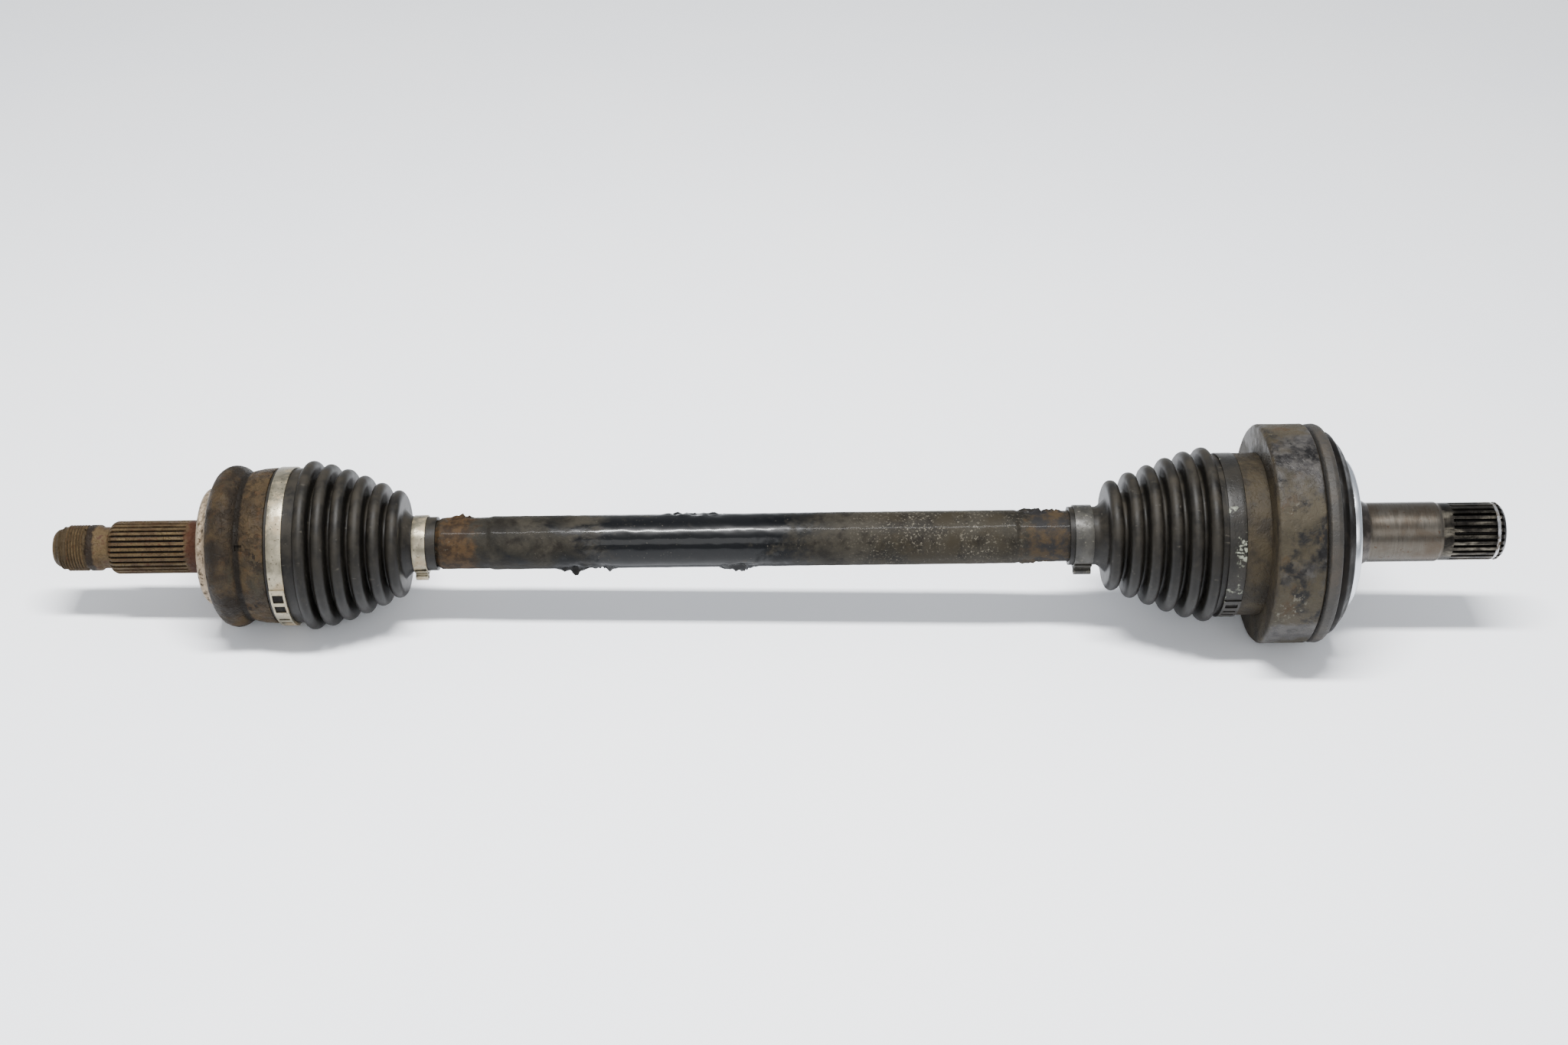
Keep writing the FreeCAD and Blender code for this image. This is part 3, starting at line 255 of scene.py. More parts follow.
def colour(red, green, blue, gain=lamp_gain):
    """Paint for a surface that is to look like this colour, from 0 to 255, in the light of the lamp."""
    linear = []
    for part in (red, green, blue):
        share = part / 255
        seen = share / 12.92 if share <= 0.04045 else ((share + 0.055) / 1.055) ** 2.4
        linear.append(seen / gain)
    return (*linear, 1.0)


def add_node(tree, kind, inputs, **settings):
    """Node with its settings, and with values or other nodes' sockets in its inputs."""
    node = tree.nodes.new(kind)
    for name, value in settings.items():
        setattr(node, name, value)
    for name, value in inputs.items():
        if isinstance(value, bpy.types.NodeSocket):
            tree.links.new(value, node.inputs[name])
        else:
            node.inputs[name].default_value = value
    return node


def maths(tree, operation, one, other):
    """Result of one sum on two values or sockets."""
    return add_node(tree, "ShaderNodeMath", {0: one, 1: other}, operation=operation).outputs[0]


def new_group(name, inputs, outputs):
    """Node group with named sockets; gives the tree, its inputs and its output node."""
    group = bpy.data.node_groups.new(name, "ShaderNodeTree")
    for socket, kind, value in inputs:
        made = group.interface.new_socket(socket, in_out="INPUT", socket_type=kind)
        if value is not None:
            made.default_value = value
    for socket, kind in outputs:
        group.interface.new_socket(socket, in_out="OUTPUT", socket_type=kind)
    entry = group.nodes.new("NodeGroupInput")
    leave = group.nodes.new("NodeGroupOutput")
    return group, entry.outputs, leave


def use_group(tree, group, inputs):
    """Outputs of a node group placed in a material with its own values."""
    return add_node(tree, "ShaderNodeGroup", inputs, node_tree=group).outputs


number = "NodeSocketFloat"
vector = "NodeSocketVector"

# Uneven patches: a soft-edged mask of noise, stretched by its own amounts along and across the axle.
patches, taken, given = new_group(
    "patches",
    [("Vector", vector, None), ("Scale", number, 100.0), ("Detail", number, 6.0), ("Along", number, 1.0),
     ("Low", number, 0.45), ("High", number, 0.6)],
    [("Mask", number)])
stretch = add_node(patches, "ShaderNodeCombineXYZ", {0: taken["Along"], 1: 1.0, 2: 1.0})
stretched = add_node(patches, "ShaderNodeVectorMath", {0: taken["Vector"], 1: stretch.outputs[0]},
                     operation="MULTIPLY")
cloud = add_node(patches, "ShaderNodeTexNoise", {
    "Vector": stretched.outputs[0], "Scale": taken["Scale"], "Detail": taken["Detail"],
    "Roughness": 0.62, "Distortion": 0.25})
bounded = add_node(patches, "ShaderNodeMapRange", {
    "Value": cloud.outputs["Fac"], "From Min": taken["Low"], "From Max": taken["High"]},
    interpolation_type="SMOOTHSTEP")
patches.links.new(bounded.outputs[0], given.inputs["Mask"])

# Corroded skin: fine grain with deeper pits in it, as a height, and a mask of the pits.
corrosion, taken, given = new_group(
    "corrosion",
    [("Vector", vector, None), ("Grain", number, 900.0), ("Pits", number, 350.0), ("Share", number, 0.4)],
    [("Height", number), ("Pit", number)])
grain = add_node(corrosion, "ShaderNodeTexNoise", {
    "Vector": taken["Vector"], "Scale": taken["Grain"], "Detail": 5.0, "Roughness": 0.7})
pit_cloud = add_node(corrosion, "ShaderNodeTexNoise", {
    "Vector": taken["Vector"], "Scale": taken["Pits"], "Detail": 4.0, "Roughness": 0.6})
pit_slope = 0.08
pit_depth = 0.8
pit_edge = maths(corrosion, "ADD", taken["Share"], pit_slope)
pit = add_node(corrosion, "ShaderNodeMapRange", {
    "Value": pit_cloud.outputs["Fac"], "From Min": taken["Share"], "From Max": pit_edge,
    "To Min": 1.0, "To Max": 0.0})
sunk = maths(corrosion, "MULTIPLY", pit.outputs[0], -pit_depth)
corrosion.links.new(maths(corrosion, "ADD", grain.outputs["Fac"], sunk), given.inputs["Height"])
corrosion.links.new(pit.outputs[0], given.inputs["Pit"])

# Stretch of the axle: 1 between two places along it, fading over a width, with a ragged edge.
stretch_of_axle, taken, given = new_group(
    "stretch_of_axle",
    [("Vector", vector, None), ("Start", number, 0.0), ("End", number, 1.0), ("Fade", number, 0.002),
     ("Ragged", number, 0.0)],
    [("Mask", number)])
waver = add_node(stretch_of_axle, "ShaderNodeTexNoise", {
    "Vector": taken["Vector"], "Scale": 260.0, "Detail": 5.0, "Roughness": 0.6})
centred = maths(stretch_of_axle, "ADD", waver.outputs["Fac"], -0.5)
moved = maths(stretch_of_axle, "MULTIPLY", centred, taken["Ragged"])
parts = add_node(stretch_of_axle, "ShaderNodeSeparateXYZ", {0: taken["Vector"]})
along = maths(stretch_of_axle, "ADD", parts.outputs[0], moved)
after = maths(stretch_of_axle, "SUBTRACT", along, taken["Start"])
before = maths(stretch_of_axle, "SUBTRACT", taken["End"], along)
nearest = maths(stretch_of_axle, "MINIMUM", after, before)
share = maths(stretch_of_axle, "DIVIDE", nearest, taken["Fade"])
limited = add_node(stretch_of_axle, "ShaderNodeClamp", {0: share})
stretch_of_axle.links.new(limited.outputs[0], given.inputs["Mask"])


def new_material(name):
    """Material with its tree, its shader and the coordinates of the piece."""
    material = bpy.data.materials.new(name)
    material.use_nodes = True
    tree = material.node_tree
    shader = tree.nodes["Principled BSDF"]
    place = tree.nodes.new("ShaderNodeTexCoord").outputs["Object"]
    return material, tree, shader, place


def patch(tree, place, scale, low, high, detail=6.0, along=1.0):
    """Mask of uneven patches."""
    return use_group(tree, patches, {"Vector": place, "Scale": scale, "Low": low, "High": high,
                                     "Detail": detail, "Along": along})["Mask"]


def between(tree, place, start, end, fade=1 * mm, ragged=0.0):
    """Mask of a stretch of the axle."""
    return use_group(tree, stretch_of_axle, {"Vector": place, "Start": start, "End": end, "Fade": fade,
                                             "Ragged": ragged})["Mask"]


def over(tree, value, low, high):
    """Mask that passes from 0 to 1 as a value goes from low to high."""
    return add_node(tree, "ShaderNodeMapRange", {0: value, 1: low, 2: high}).outputs[0]


def mix(tree, mask, under, over):
    """One colour laid over another by a mask."""
    return add_node(tree, "ShaderNodeMix", {0: mask, 6: under, 7: over}, data_type="RGBA").outputs[2]


def mottled(tree, place, scale, low, high, one, other):
    """Two colours in uneven patches, each given as colour() takes it."""
    return mix(tree, patch(tree, place, scale, low, high), colour(*one), colour(*other))


def blend_value(tree, mask, under, over):
    """One value passing into another by a mask."""
    return add_node(tree, "ShaderNodeMix", {0: mask, 2: under, 3: over}).outputs[0]


def both(tree, one, other):
    """Product of two masks."""
    return maths(tree, "MULTIPLY", one, other)


def corroded(tree, place, grain, pits, share):
    """Height and mask of pits of a corroded skin."""
    return use_group(tree, corrosion, {"Vector": place, "Grain": grain, "Pits": pits, "Share": share})


def feed(tree, shader, name, value):
    """Lead a socket into one of the shader's inputs."""
    tree.links.new(value, shader.inputs[name])


def raise_bumps(tree, shader, height, strength, distance):
    """Feed a height to the shader's normal."""
    bump = add_node(tree, "ShaderNodeBump", {"Height": height, "Strength": strength, "Distance": distance})
    feed(tree, shader, "Normal", bump.outputs[0])


def wear(piece, *materials):
    """Give a piece its material, or its materials in the order that its faces name them."""
    piece.data.materials.clear()
    for material in materials:
        piece.data.materials.append(material)


paint, tree, shader, place = new_material("bar_paint")
shader.inputs["Specular IOR Level"].default_value = 0.1
film = mottled(tree, place, 30, 0.4, 0.62, (46, 43, 36), (88, 82, 70))
film = mix(tree, patch(tree, place, 120, 0.46, 0.7), film, colour(44, 38, 30))
black = colour(16, 19, 24)
black_stretch = between(tree, place, -152 * mm, 34 * mm, 30 * mm, 60 * mm)
clean = both(tree, black_stretch, patch(tree, place, 34, 0.56, 0.44, along=0.6))
middle_clean = both(tree, between(tree, place, -92 * mm, 30 * mm, 20 * mm, 50 * mm),
                    patch(tree, place, 60, 0.66, 0.54))
clean = maths(tree, "MAXIMUM", clean, middle_clean)
surface = mix(tree, clean, film, black)
rusty = mottled(tree, place, 200, 0.4, 0.62, (72, 54, 36), (112, 86, 56))
wheel_rust = between(tree, place, -173 * mm, -149 * mm, 7 * mm, 24 * mm)
surface = mix(tree, wheel_rust, surface, rusty)
diff_rust = between(tree, place, 131 * mm, 162 * mm, 9 * mm, 30 * mm)
surface = mix(tree, diff_rust, surface, mottled(tree, place, 90, 0.42, 0.6, (60, 58, 58), (104, 86, 62)))
height = corroded(tree, place, 700, 420, 0.42)["Height"]
speckled = both(tree, between(tree, place, 40 * mm, 138 * mm, 24 * mm, 40 * mm),
                patch(tree, place, 800, 0.56, 0.63))
surface = mix(tree, speckled, surface, colour(166, 158, 140))
speck_ground = between(tree, place, 46 * mm, 134 * mm, 20 * mm, 40 * mm)
surface = mix(tree, both(tree, speck_ground, patch(tree, place, 70, 0.42, 0.62)), surface, colour(80, 72, 56))
# Dust and painted sheen: a pale, patchy band along the far side of the bar, which shows as its top edge.
backwards = add_node(tree, "ShaderNodeSeparateXYZ", {0: place}).outputs[1]
far_edge_dust_and_sheen = both(tree, between(tree, place, 36 * mm, 132 * mm, 20 * mm, 50 * mm),
              over(tree, backwards, 4 * mm, 8 * mm))
far_edge_dust_and_sheen = both(tree, far_edge_dust_and_sheen, patch(tree, place, 180, 0.3, 0.6))
surface = mix(tree, far_edge_dust_and_sheen, surface, colour(154, 151, 140))
glints = both(tree, patch(tree, place, 900, 0.64, 0.69), patch(tree, place, 40, 0.4, 0.6))
surface = mix(tree, glints, surface, colour(140, 134, 120))
feed(tree, shader, "Base Color", surface)
gloss = blend_value(tree, clean, 0.6, 0.3)
gloss = blend_value(tree, speckled, gloss, 0.6)
gloss = blend_value(tree, maths(tree, "MAXIMUM", wheel_rust, diff_rust), gloss, 0.62)
feed(tree, shader, "Roughness", gloss)
varnish = blend_value(tree, between(tree, place, -98 * mm, 6 * mm, 12 * mm, 60 * mm), 0.02, 0.3)
feed(tree, shader, "Coat Weight", varnish)
shader.inputs["Coat Roughness"].default_value = 0.06
shader.inputs["Coat IOR"].default_value = 1.4
raise_bumps(tree, shader, blend_value(tree, clean, height, 0.5), 0.3, 0.25 * mm)
wear(bar, paint)
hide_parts("shaft_bar")
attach(bar, "bar")

# ------------------------------------------------------------------ hardened pieces inside the joints
# Race, cage, balls, spider, rollers, needles, rings and clips: hardened bearing steel, ground bright,
# under a thin brown film of old grease. The clips snap into the grooves of the bar and the stub.
greased, tree, shader, place = new_material("greased_steel")
grease = patch(tree, place, 170, 0.4, 0.62)
steel = mix(tree, patch(tree, place, 900, 0.4, 0.6, along=6.0), colour(168, 168, 170, 1.0),
            colour(192, 192, 194, 1.0))
feed(tree, shader, "Base Color", mix(tree, grease, steel, colour(116, 98, 72)))
feed(tree, shader, "Roughness", blend_value(tree, grease, 0.16, 0.38))
feed(tree, shader, "Metallic", blend_value(tree, grease, 1.0, 0.55))
inner_nodes = [
    "outboard_race_clip", "outboard_race", "outboard_cage", "outboard_ball_top", "outboard_ball_bottom",
    "outboard_balls_side", "spider", "spider_clip", "roller_retainers", "roller_top", "needles_top",
    "roller_front", "needles_front", "roller_back", "needles_back", "diff_stub_clip",
]
for name in inner_nodes:
    wear(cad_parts[name], greased)

# ------------------------------------------------------------------ bell with its wheel stub
# One steel forging: the bell that holds six balls, a rolled bead, the hub shoulder, and the stub with
# its spline and thread. Bare steel, so all of it is rusty but the shoulder, which the hub has worn.
bell_steps = 240
hub_teeth = 30
spline_crest = 13.8 * mm
spline_root = 12.65 * mm
track_pitch = 26.5 * mm
track_radius = 9.15 * mm
bore_radius = 29.8 * mm
thread_crest = 12.0 * mm
thread_root = 11.1 * mm
thread_pitch = 1.5 * mm


def arc(centre, radius, start, end, count):
    """Points of a round stretch of an outline, between two angles in degrees."""
    turns = [math.radians(start + (end - start) * step / count) for step in range(count + 1)]
    return [(centre[0] + radius * math.cos(turn), centre[1] + radius * math.sin(turn)) for turn in turns]


bore_floor = 21.5 * mm
bore_floor_angle = math.degrees(math.acos(bore_floor / bore_radius))
bore_mouth_angle = math.degrees(math.acos(-9.0 * mm / bore_radius))
bore = arc((0, 0), bore_radius, bore_floor_angle, bore_mouth_angle, 14)
bead_peak = (15.8 * mm, 42.2 * mm)
bar_side_round = 8.2 * mm
wheel_side_round = 9.1 * mm
bead = arc((bead_peak[0], bead_peak[1] - bar_side_round), bar_side_round, 146, 90, 8)
bead += arc((bead_peak[0], bead_peak[1] - wheel_side_round), wheel_side_round, 82, 15, 9)
outside = in_mm([
    (-19.0, 31.0), (-19.0, 38.2), (-6.0, 38.2), (-6.0, 40.6), (1.0, 40.2), (4.6, 39.4), (7.4, 38.6),
]) + bead + in_mm([
    (26.6, 31.2), (27.8, 30.2), (29.6, 30.2), (31.0, 28.6), (31.0, 16.6), (32.2, 14.6),
]) + [
    (33.6 * mm, spline_crest),
    (40.0 * mm, spline_crest),
    (42.6 * mm, spline_crest),
    (78.6 * mm, spline_crest),
    (80.4 * mm, 12.9 * mm),
    (81.8 * mm, 10.8 * mm),
    (85.8 * mm, 10.8 * mm),
    (87.4 * mm, thread_crest),
    (92.4 * mm, thread_crest),
    (93.2 * mm, thread_root),
    (104.0 * mm, thread_root),
    (109.4 * mm, 9.6 * mm),
    (110.9 * mm, 8.2 * mm),
    (110.9 * mm, 4.2 * mm),
    (106.5 * mm, 0),
]
bell_outline = [(bore_floor, 0)] + bore + eased(outside, 0.5 * mm, 2 * mm)
bell = turned("bell", [(wheel_centre - across, up) for across, up in bell_outline], bell_steps)


def select_points(piece, test):
    """Go into edit mode with only the points that pass the test selected."""
    bpy.ops.object.mode_set(mode="OBJECT")
    make_active(piece)
    bpy.ops.object.mode_set(mode="EDIT")
    bpy.ops.mesh.select_mode(type="VERT")
    bpy.ops.mesh.select_all(action="DESELECT")
    bpy.ops.object.mode_set(mode="OBJECT")
    for vertex in piece.data.vertices:
        vertex.select = test(vertex.co)
    bpy.ops.object.mode_set(mode="EDIT")


def press_spline(piece, start, end, crest, root, teeth, flank=0.3):
    """Press the grooves of a spline into the rings of points between two places along the axle."""
    def in_groove(point):
        phase = around_axle(point) / math.tau * teeth % 1
        deep = flank < phase < 1 - flank
        return start < point.x < end and off_axle(point) > root and deep

    select_points(piece, in_groove)
    sink = root / crest
    bpy.ops.transform.resize(value=(1, sink, sink), center_override=(0, 0, 0))
    bpy.ops.object.mode_set(mode="OBJECT")


press_spline(bell, wheel_place(82.5), wheel_place(41.0), spline_crest, spline_root, hub_teeth)
roughen(bell, 0.35 * mm, 6 * mm, lambda point: 0.0 if off_axle(point) < bore_radius + mm else 1.0)


knock_depth = 1.1 * mm


def in_dent(point):
    """Points of a small knock in the bell beside the bead."""
    degrees = math.degrees(around_axle(point))
    return wheel_place(8.8) < point.x < wheel_place(4.2) and 53 < degrees < 59 and point.length > bore_radius


select_points(bell, in_dent)
bpy.ops.mesh.select_mode(type="FACE")
bpy.ops.mesh.extrude_region_shrink_fatten(TRANSFORM_OT_shrink_fatten={"value": -knock_depth})
bpy.ops.mesh.select_mode(type="VERT")
bpy.ops.object.mode_set(mode="OBJECT")


def helix(name, start, turns, pitch, root, crest, steps):
    """Thread: one tooth drawn beside the axle, its foot sunk in the stub, and wound along it."""
    foot = root - 0.1 * mm
    tooth = [(start, foot), (start + pitch * 0.44, crest), (start + pitch * 0.56, crest),
             (start + pitch, foot)]
    piece = drawn_line(name, [place_on(point, 0) for point in tooth])
    bpy.ops.object.mode_set(mode="OBJECT")
    winding = piece.modifiers.new("winding", "SCREW")
    winding.axis = "X"
    winding.steps = winding.render_steps = steps
    winding.screw_offset = pitch
    winding.iterations = turns
    winding.use_merge_vertices = True
    apply_modifier(piece, winding)
    return piece


thread_turns = 9
chamfer_draw = 0.93
thread = helix("thread", wheel_place(108.2), thread_turns, thread_pitch, thread_root, thread_crest, 64)


def on_end_chamfer(point):
    """Points of the thread on the stub's chamfered end."""
    return point.x < wheel_place(104.0)


select_points(thread, on_end_chamfer)
bpy.ops.transform.resize(value=(1, chamfer_draw, chamfer_draw), center_override=(0, 0, 0))
bpy.ops.mesh.select_all(action="SELECT")
bpy.ops.mesh.normals_make_consistent(inside=False)
bpy.ops.object.mode_set(mode="OBJECT")


def cut_ball_tracks(piece):
    """Cut six round tracks into the bore, each a ring of round section swept about the joint's centre."""
    for number in range(6):
        lean = number * math.tau / 6
        bpy.ops.object.select_all(action="DESELECT")
        bpy.ops.mesh.primitive_torus_add(
            major_segments=72, minor_segments=28, major_radius=track_pitch, minor_radius=track_radius,
            location=(wheel_centre, 0, 0), rotation=(math.pi / 2 + lean, 0, 0))
        ring = bpy.context.active_object
        bpy.ops.object.transform_apply()
        bpy.ops.object.mode_set(mode="EDIT")
        bpy.ops.mesh.select_all(action="SELECT")
        bpy.ops.mesh.bisect(plane_co=(wheel_place(16.6), 0, 0), plane_no=(1, 0, 0), clear_inner=True,
                            use_fill=True)
        outwards = place_on((0, 1), -lean)
        bpy.ops.mesh.select_all(action="SELECT")
        bpy.ops.mesh.bisect(plane_co=(wheel_centre, 0, 0), plane_no=outwards, clear_inner=True,
                            use_fill=True)
        bpy.ops.object.mode_set(mode="OBJECT")
        cutting = piece.modifiers.new("track", "BOOLEAN")
        cutting.object = ring
        cutting.solver = "EXACT"
        apply_modifier(piece, cutting)
        bpy.data.objects.remove(ring)


cut_ball_tracks(bell)
finish_smooth(bell, 38)
finish_smooth(thread, 38)


def round_out(tree, place):
    """Distance of the surface from the axle's line."""
    flat = add_node(tree, "ShaderNodeVectorMath", {0: place, 1: (0, 1, 1)}, operation="MULTIPLY")
    return add_node(tree, "ShaderNodeVectorMath", {0: flat.outputs[0]}, operation="LENGTH").outputs["Value"]


rust, tree, shader, place = new_material("forging_rust")
shader.inputs["Specular IOR Level"].default_value = 0.12
skin = corroded(tree, place, 620, 300, 0.43)
surface = mottled(tree, place, 80, 0.36, 0.62, (80, 66, 48), (112, 92, 63))
surface = mix(tree, patch(tree, place, 240, 0.5, 0.68), surface, colour(110, 82, 54))
surface = mix(tree, patch(tree, place, 38, 0.52, 0.66), surface, colour(84, 76, 58))
surface = mix(tree, both(tree, skin["Pit"], patch(tree, place, 60, 0.4, 0.66)), surface, colour(48, 38, 28))
bead_stretch = between(tree, place, wheel_place(27.0), wheel_place(8.0), 2 * mm, 6 * mm)
surface = mix(tree, both(tree, bead_stretch, patch(tree, place, 60, 0.34, 0.6)), surface, colour(56, 46, 34))
# Painted shade: a dark band round the shallow groove at the foot of the bead.
groove_shade = between(tree, place, wheel_place(10.2), wheel_place(5.6), 1.2 * mm, 1.5 * mm)
surface = mix(tree, groove_shade, surface, colour(44, 36, 26))
stub_stretch = between(tree, place, wheel_place(112.0), wheel_place(31.4), 0.5 * mm)
stub_colour = mottled(tree, place, 120, 0.36, 0.6, (112, 88, 60), (142, 118, 82))
stub_colour = mix(tree, patch(tree, place, 300, 0.52, 0.66), stub_colour, colour(112, 76, 50))
out = round_out(tree, place)
splined = between(tree, place, wheel_place(80.0), wheel_place(40.0), 1 * mm)
threaded = between(tree, place, wheel_place(109.5), wheel_place(92.8), 0.5 * mm)
# Painted shade: the spline's grooves are made dark.
stub_colour = mix(tree, both(tree, over(tree, out, 13.5 * mm, 12.9 * mm), splined), stub_colour,
                  colour(44, 32, 22))
# Painted shade: the thread's roots and the core under it are made a little darker.
stub_colour = mix(tree, both(tree, over(tree, out, 11.8 * mm, 11.2 * mm), threaded), stub_colour,
                  colour(106, 88, 62))
run_out = between(tree, place, wheel_place(42.0), wheel_place(32.0), 3 * mm, 8 * mm)
stub_colour = mix(tree, run_out, stub_colour, colour(108, 66, 42))
dark_shank = between(tree, place, wheel_place(93.8), wheel_place(88.4), 1.2 * mm, 5 * mm)
stub_colour = mix(tree, dark_shank, stub_colour, colour(64, 50, 36))
surface = mix(tree, stub_stretch, surface, stub_colour)
shoulder = between(tree, place, wheel_place(32.0), wheel_place(24.6), 0.7 * mm, 2.5 * mm)
worn = both(tree, both(tree, shoulder, over(tree, out, 26.0 * mm, 27.4 * mm)),
            patch(tree, place, 330, 0.34, 0.52))
surface = mix(tree, worn, surface, colour(188, 168, 142, 2.0))
# Worn bare metal and a painted glint: the spline's crests are made pale and metallic.
crest_wear_and_glint = both(tree, both(tree, splined, over(tree, out, 13.55 * mm, 13.75 * mm)),
              patch(tree, place, 150, 0.5, 0.62, along=0.4))
surface = mix(tree, crest_wear_and_glint, surface, colour(142, 120, 84))
feed(tree, shader, "Base Color", surface)
bright = maths(tree, "MAXIMUM", worn, crest_wear_and_glint)
feed(tree, shader, "Metallic", both(tree, bright, patch(tree, place, 500, 0.3, 0.7)))
matt = blend_value(tree, patch(tree, place, 110, 0.4, 0.6), 0.5, 0.74)
feed(tree, shader, "Roughness", blend_value(tree, bright, matt, 0.38))
raise_bumps(tree, shader, skin["Height"], 0.8, 0.5 * mm)
wear(bell, rust)
wear(thread, rust)
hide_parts("outboard_bell")
for piece in (bell, thread):
    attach(piece, "outboard_joint")

# ------------------------------------------------------------------ boots
# Two bellows of moulded rubber, each pulled over its joint's seat and closed on the bar. They are darker in
# the folds, and paler on top from dust and from painted light. Each is cut into stretches at its folds.
boot_wall = 1.7 * mm
crest_round = 3.3 * mm
boot_steps = 160


def bellows_line(first, pitch, radii, depth, seat, neck):
    """Outside of a boot from seat to neck in one list per fold, by stations from the joint's centre."""
    valley_round = pitch / 2 - crest_round
    folds = [[(seat[0], seat[2]), (seat[1], seat[2]), (first + crest_round, seat[2] + 0.4 * mm)]]
    for number, radius in enumerate(radii):
        top = first - pitch * number
        crest = arc((top, radius - crest_round), crest_round, 0, 180, 12)
        folds[-1] += crest
        if number < len(radii) - 1:
            bottom = top - pitch / 2
            floor = (radius + radii[number + 1]) / 2 - depth + valley_round
            valley = arc((bottom, floor), valley_round, 0, -180, 8)
            folds[-1] += valley[:5]
            folds.append(valley[4:])
    last = first - pitch * (len(radii) - 1) - crest_round
    folds[-1] += [(last, neck[2] + 4 * mm), (neck[0], neck[2] + 0.8 * mm), (neck[0] - 1.5 * mm, neck[2]),
                  (neck[1], neck[2])]
    return folds


def boot_section(name, place_of, folds):
    """Stretch of a boot, turned from the outline of some of its folds."""
    line = [point for fold in folds for point in fold]
    outline = [(place_of(across / mm), up) for across, up in line]
    tidy = [outline[0]]
    for point in outline[1:]:
        if (Vector(point) - Vector(tidy[-1])).length > 0.02 * mm:
            tidy.append(point)
    tidy = divide(tidy, 1.3 * mm)
    piece = turned(name, tidy, boot_steps)
    face_out(piece)
    roughen(piece, 0.5 * mm, 14 * mm, lambda point: 1.0 if off_axle(point) > 15 * mm else 0.0)
    wall = piece.modifiers.new("wall", "SOLIDIFY")
    wall.thickness = boot_wall
    wall.offset = -1.0
    apply_modifier(piece, wall)
    finish_smooth(piece, 60)
    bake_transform(piece)
    return piece


def face_out(piece):
    """Turn the faces of an open shell away from the axle."""
    face = max(piece.data.polygons, key=lambda item: off_axle(item.center))
    if face.normal.y * face.center.y + face.normal.z * face.center.z < 0:
        select_points(piece, lambda point: True)
        bpy.ops.mesh.flip_normals()
        bpy.ops.object.mode_set(mode="OBJECT")


wheel_folds = bellows_line(
    -24.2 * mm, 8.8 * mm, [44.0 * mm, 42.2 * mm, 39.5 * mm, 36.0 * mm, 32.2 * mm, 28.2 * mm], 8.5 * mm,
    (-6.3 * mm, -16.6 * mm, 40.2 * mm), (-75.0 * mm, -88.4 * mm, 14.0 * mm))
diff_folds = bellows_line(
    -32.9 * mm, 9.5 * mm, [45.5 * mm, 43.4 * mm, 40.2 * mm, 36.6 * mm, 32.9 * mm, 28.8 * mm], 8.5 * mm,
    (-17.9 * mm, -27.0 * mm, 41.5 * mm), (-87.0 * mm, -102.8 * mm, 15.2 * mm))
boots = [
    boot_section("wheel_boot_seat", wheel_place, wheel_folds[:2]),
    boot_section("wheel_boot_wide", wheel_place, wheel_folds[2:3]),
    boot_section("wheel_boot_narrow", wheel_place, wheel_folds[3:4]),
    boot_section("wheel_boot_neck", wheel_place, wheel_folds[4:]),
    boot_section("diff_boot_seat", diff_place, diff_folds[:3]),
    boot_section("diff_boot_middle", diff_place, diff_folds[3:4]),
    boot_section("diff_boot_neck", diff_place, diff_folds[4:]),
]
rubber, tree, shader, place = new_material("boot_rubber")
shader.inputs["Specular IOR Level"].default_value = 0.17
facing = tree.nodes.new("ShaderNodeNewGeometry").outputs["Normal"]
upwards = add_node(tree, "ShaderNodeSeparateXYZ", {0: facing}).outputs[2]
rubber_colour = mottled(tree, place, 60, 0.35, 0.65, (30, 28, 25), (48, 45, 40))
rubber_colour = mix(tree, patch(tree, place, 260, 0.5, 0.68), rubber_colour, colour(58, 54, 47))
# Dust and painted light from above: faces that look up are made paler and more matt.
dust_and_top_light = both(tree, over(tree, upwards, 0.0, 1.0), patch(tree, place, 90, 0.34, 0.66))
rubber_colour = mix(tree, dust_and_top_light, rubber_colour, colour(82, 75, 63))
scuffs = patch(tree, place, 420, 0.64, 0.7, along=0.3)
rubber_colour = mix(tree, scuffs, rubber_colour, colour(104, 98, 88))
feed(tree, shader, "Base Color", rubber_colour)
feed(tree, shader, "Roughness", blend_value(tree, dust_and_top_light, 0.44, 0.66))
height = corroded(tree, place, 1300, 500, 0.3)["Height"]
raise_bumps(tree, shader, height, 0.25, 0.15 * mm)
for piece in boots:
    wear(piece, rubber)
for piece in boots[:4]:
    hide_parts("outboard_boot")
for piece in boots[4:]:
    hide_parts("inboard_boot")

# ------------------------------------------------------------------ clamps with a standing ear
# Two narrow bands of galvanised strip on the boots' necks. Each ends in a folded ear that pliers have
# pinched shut, and the ear stands away from the band on the side that faces down and forwards.
strip = 0.9 * mm
band_steps = 144
ear_turn = 145
ear_height = 3.6 * mm
ear_foot = 5.0 * mm


def band(name, node, steps=band_steps):
    """Closed band on a boot, as wide as the clamp that it stands for."""
    low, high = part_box(node)
    inner = band_bore[node]
    outer = inner + strip
    middle = (low.x + high.x) / 2
    outline = [(middle, inner), (low.x, inner), (low.x, outer), (high.x, outer), (high.x, inner),
               (middle, inner)]
    return turned(name, eased(outline, 0.18 * mm, 2.5 * mm), steps)


band_bore = {
    "outboard_small_clamp": 14.1 * mm,
    "inboard_small_clamp": 15.3 * mm,
    "outboard_large_clamp": 40.3 * mm,
    "inboard_large_clamp": 41.6 * mm,
}


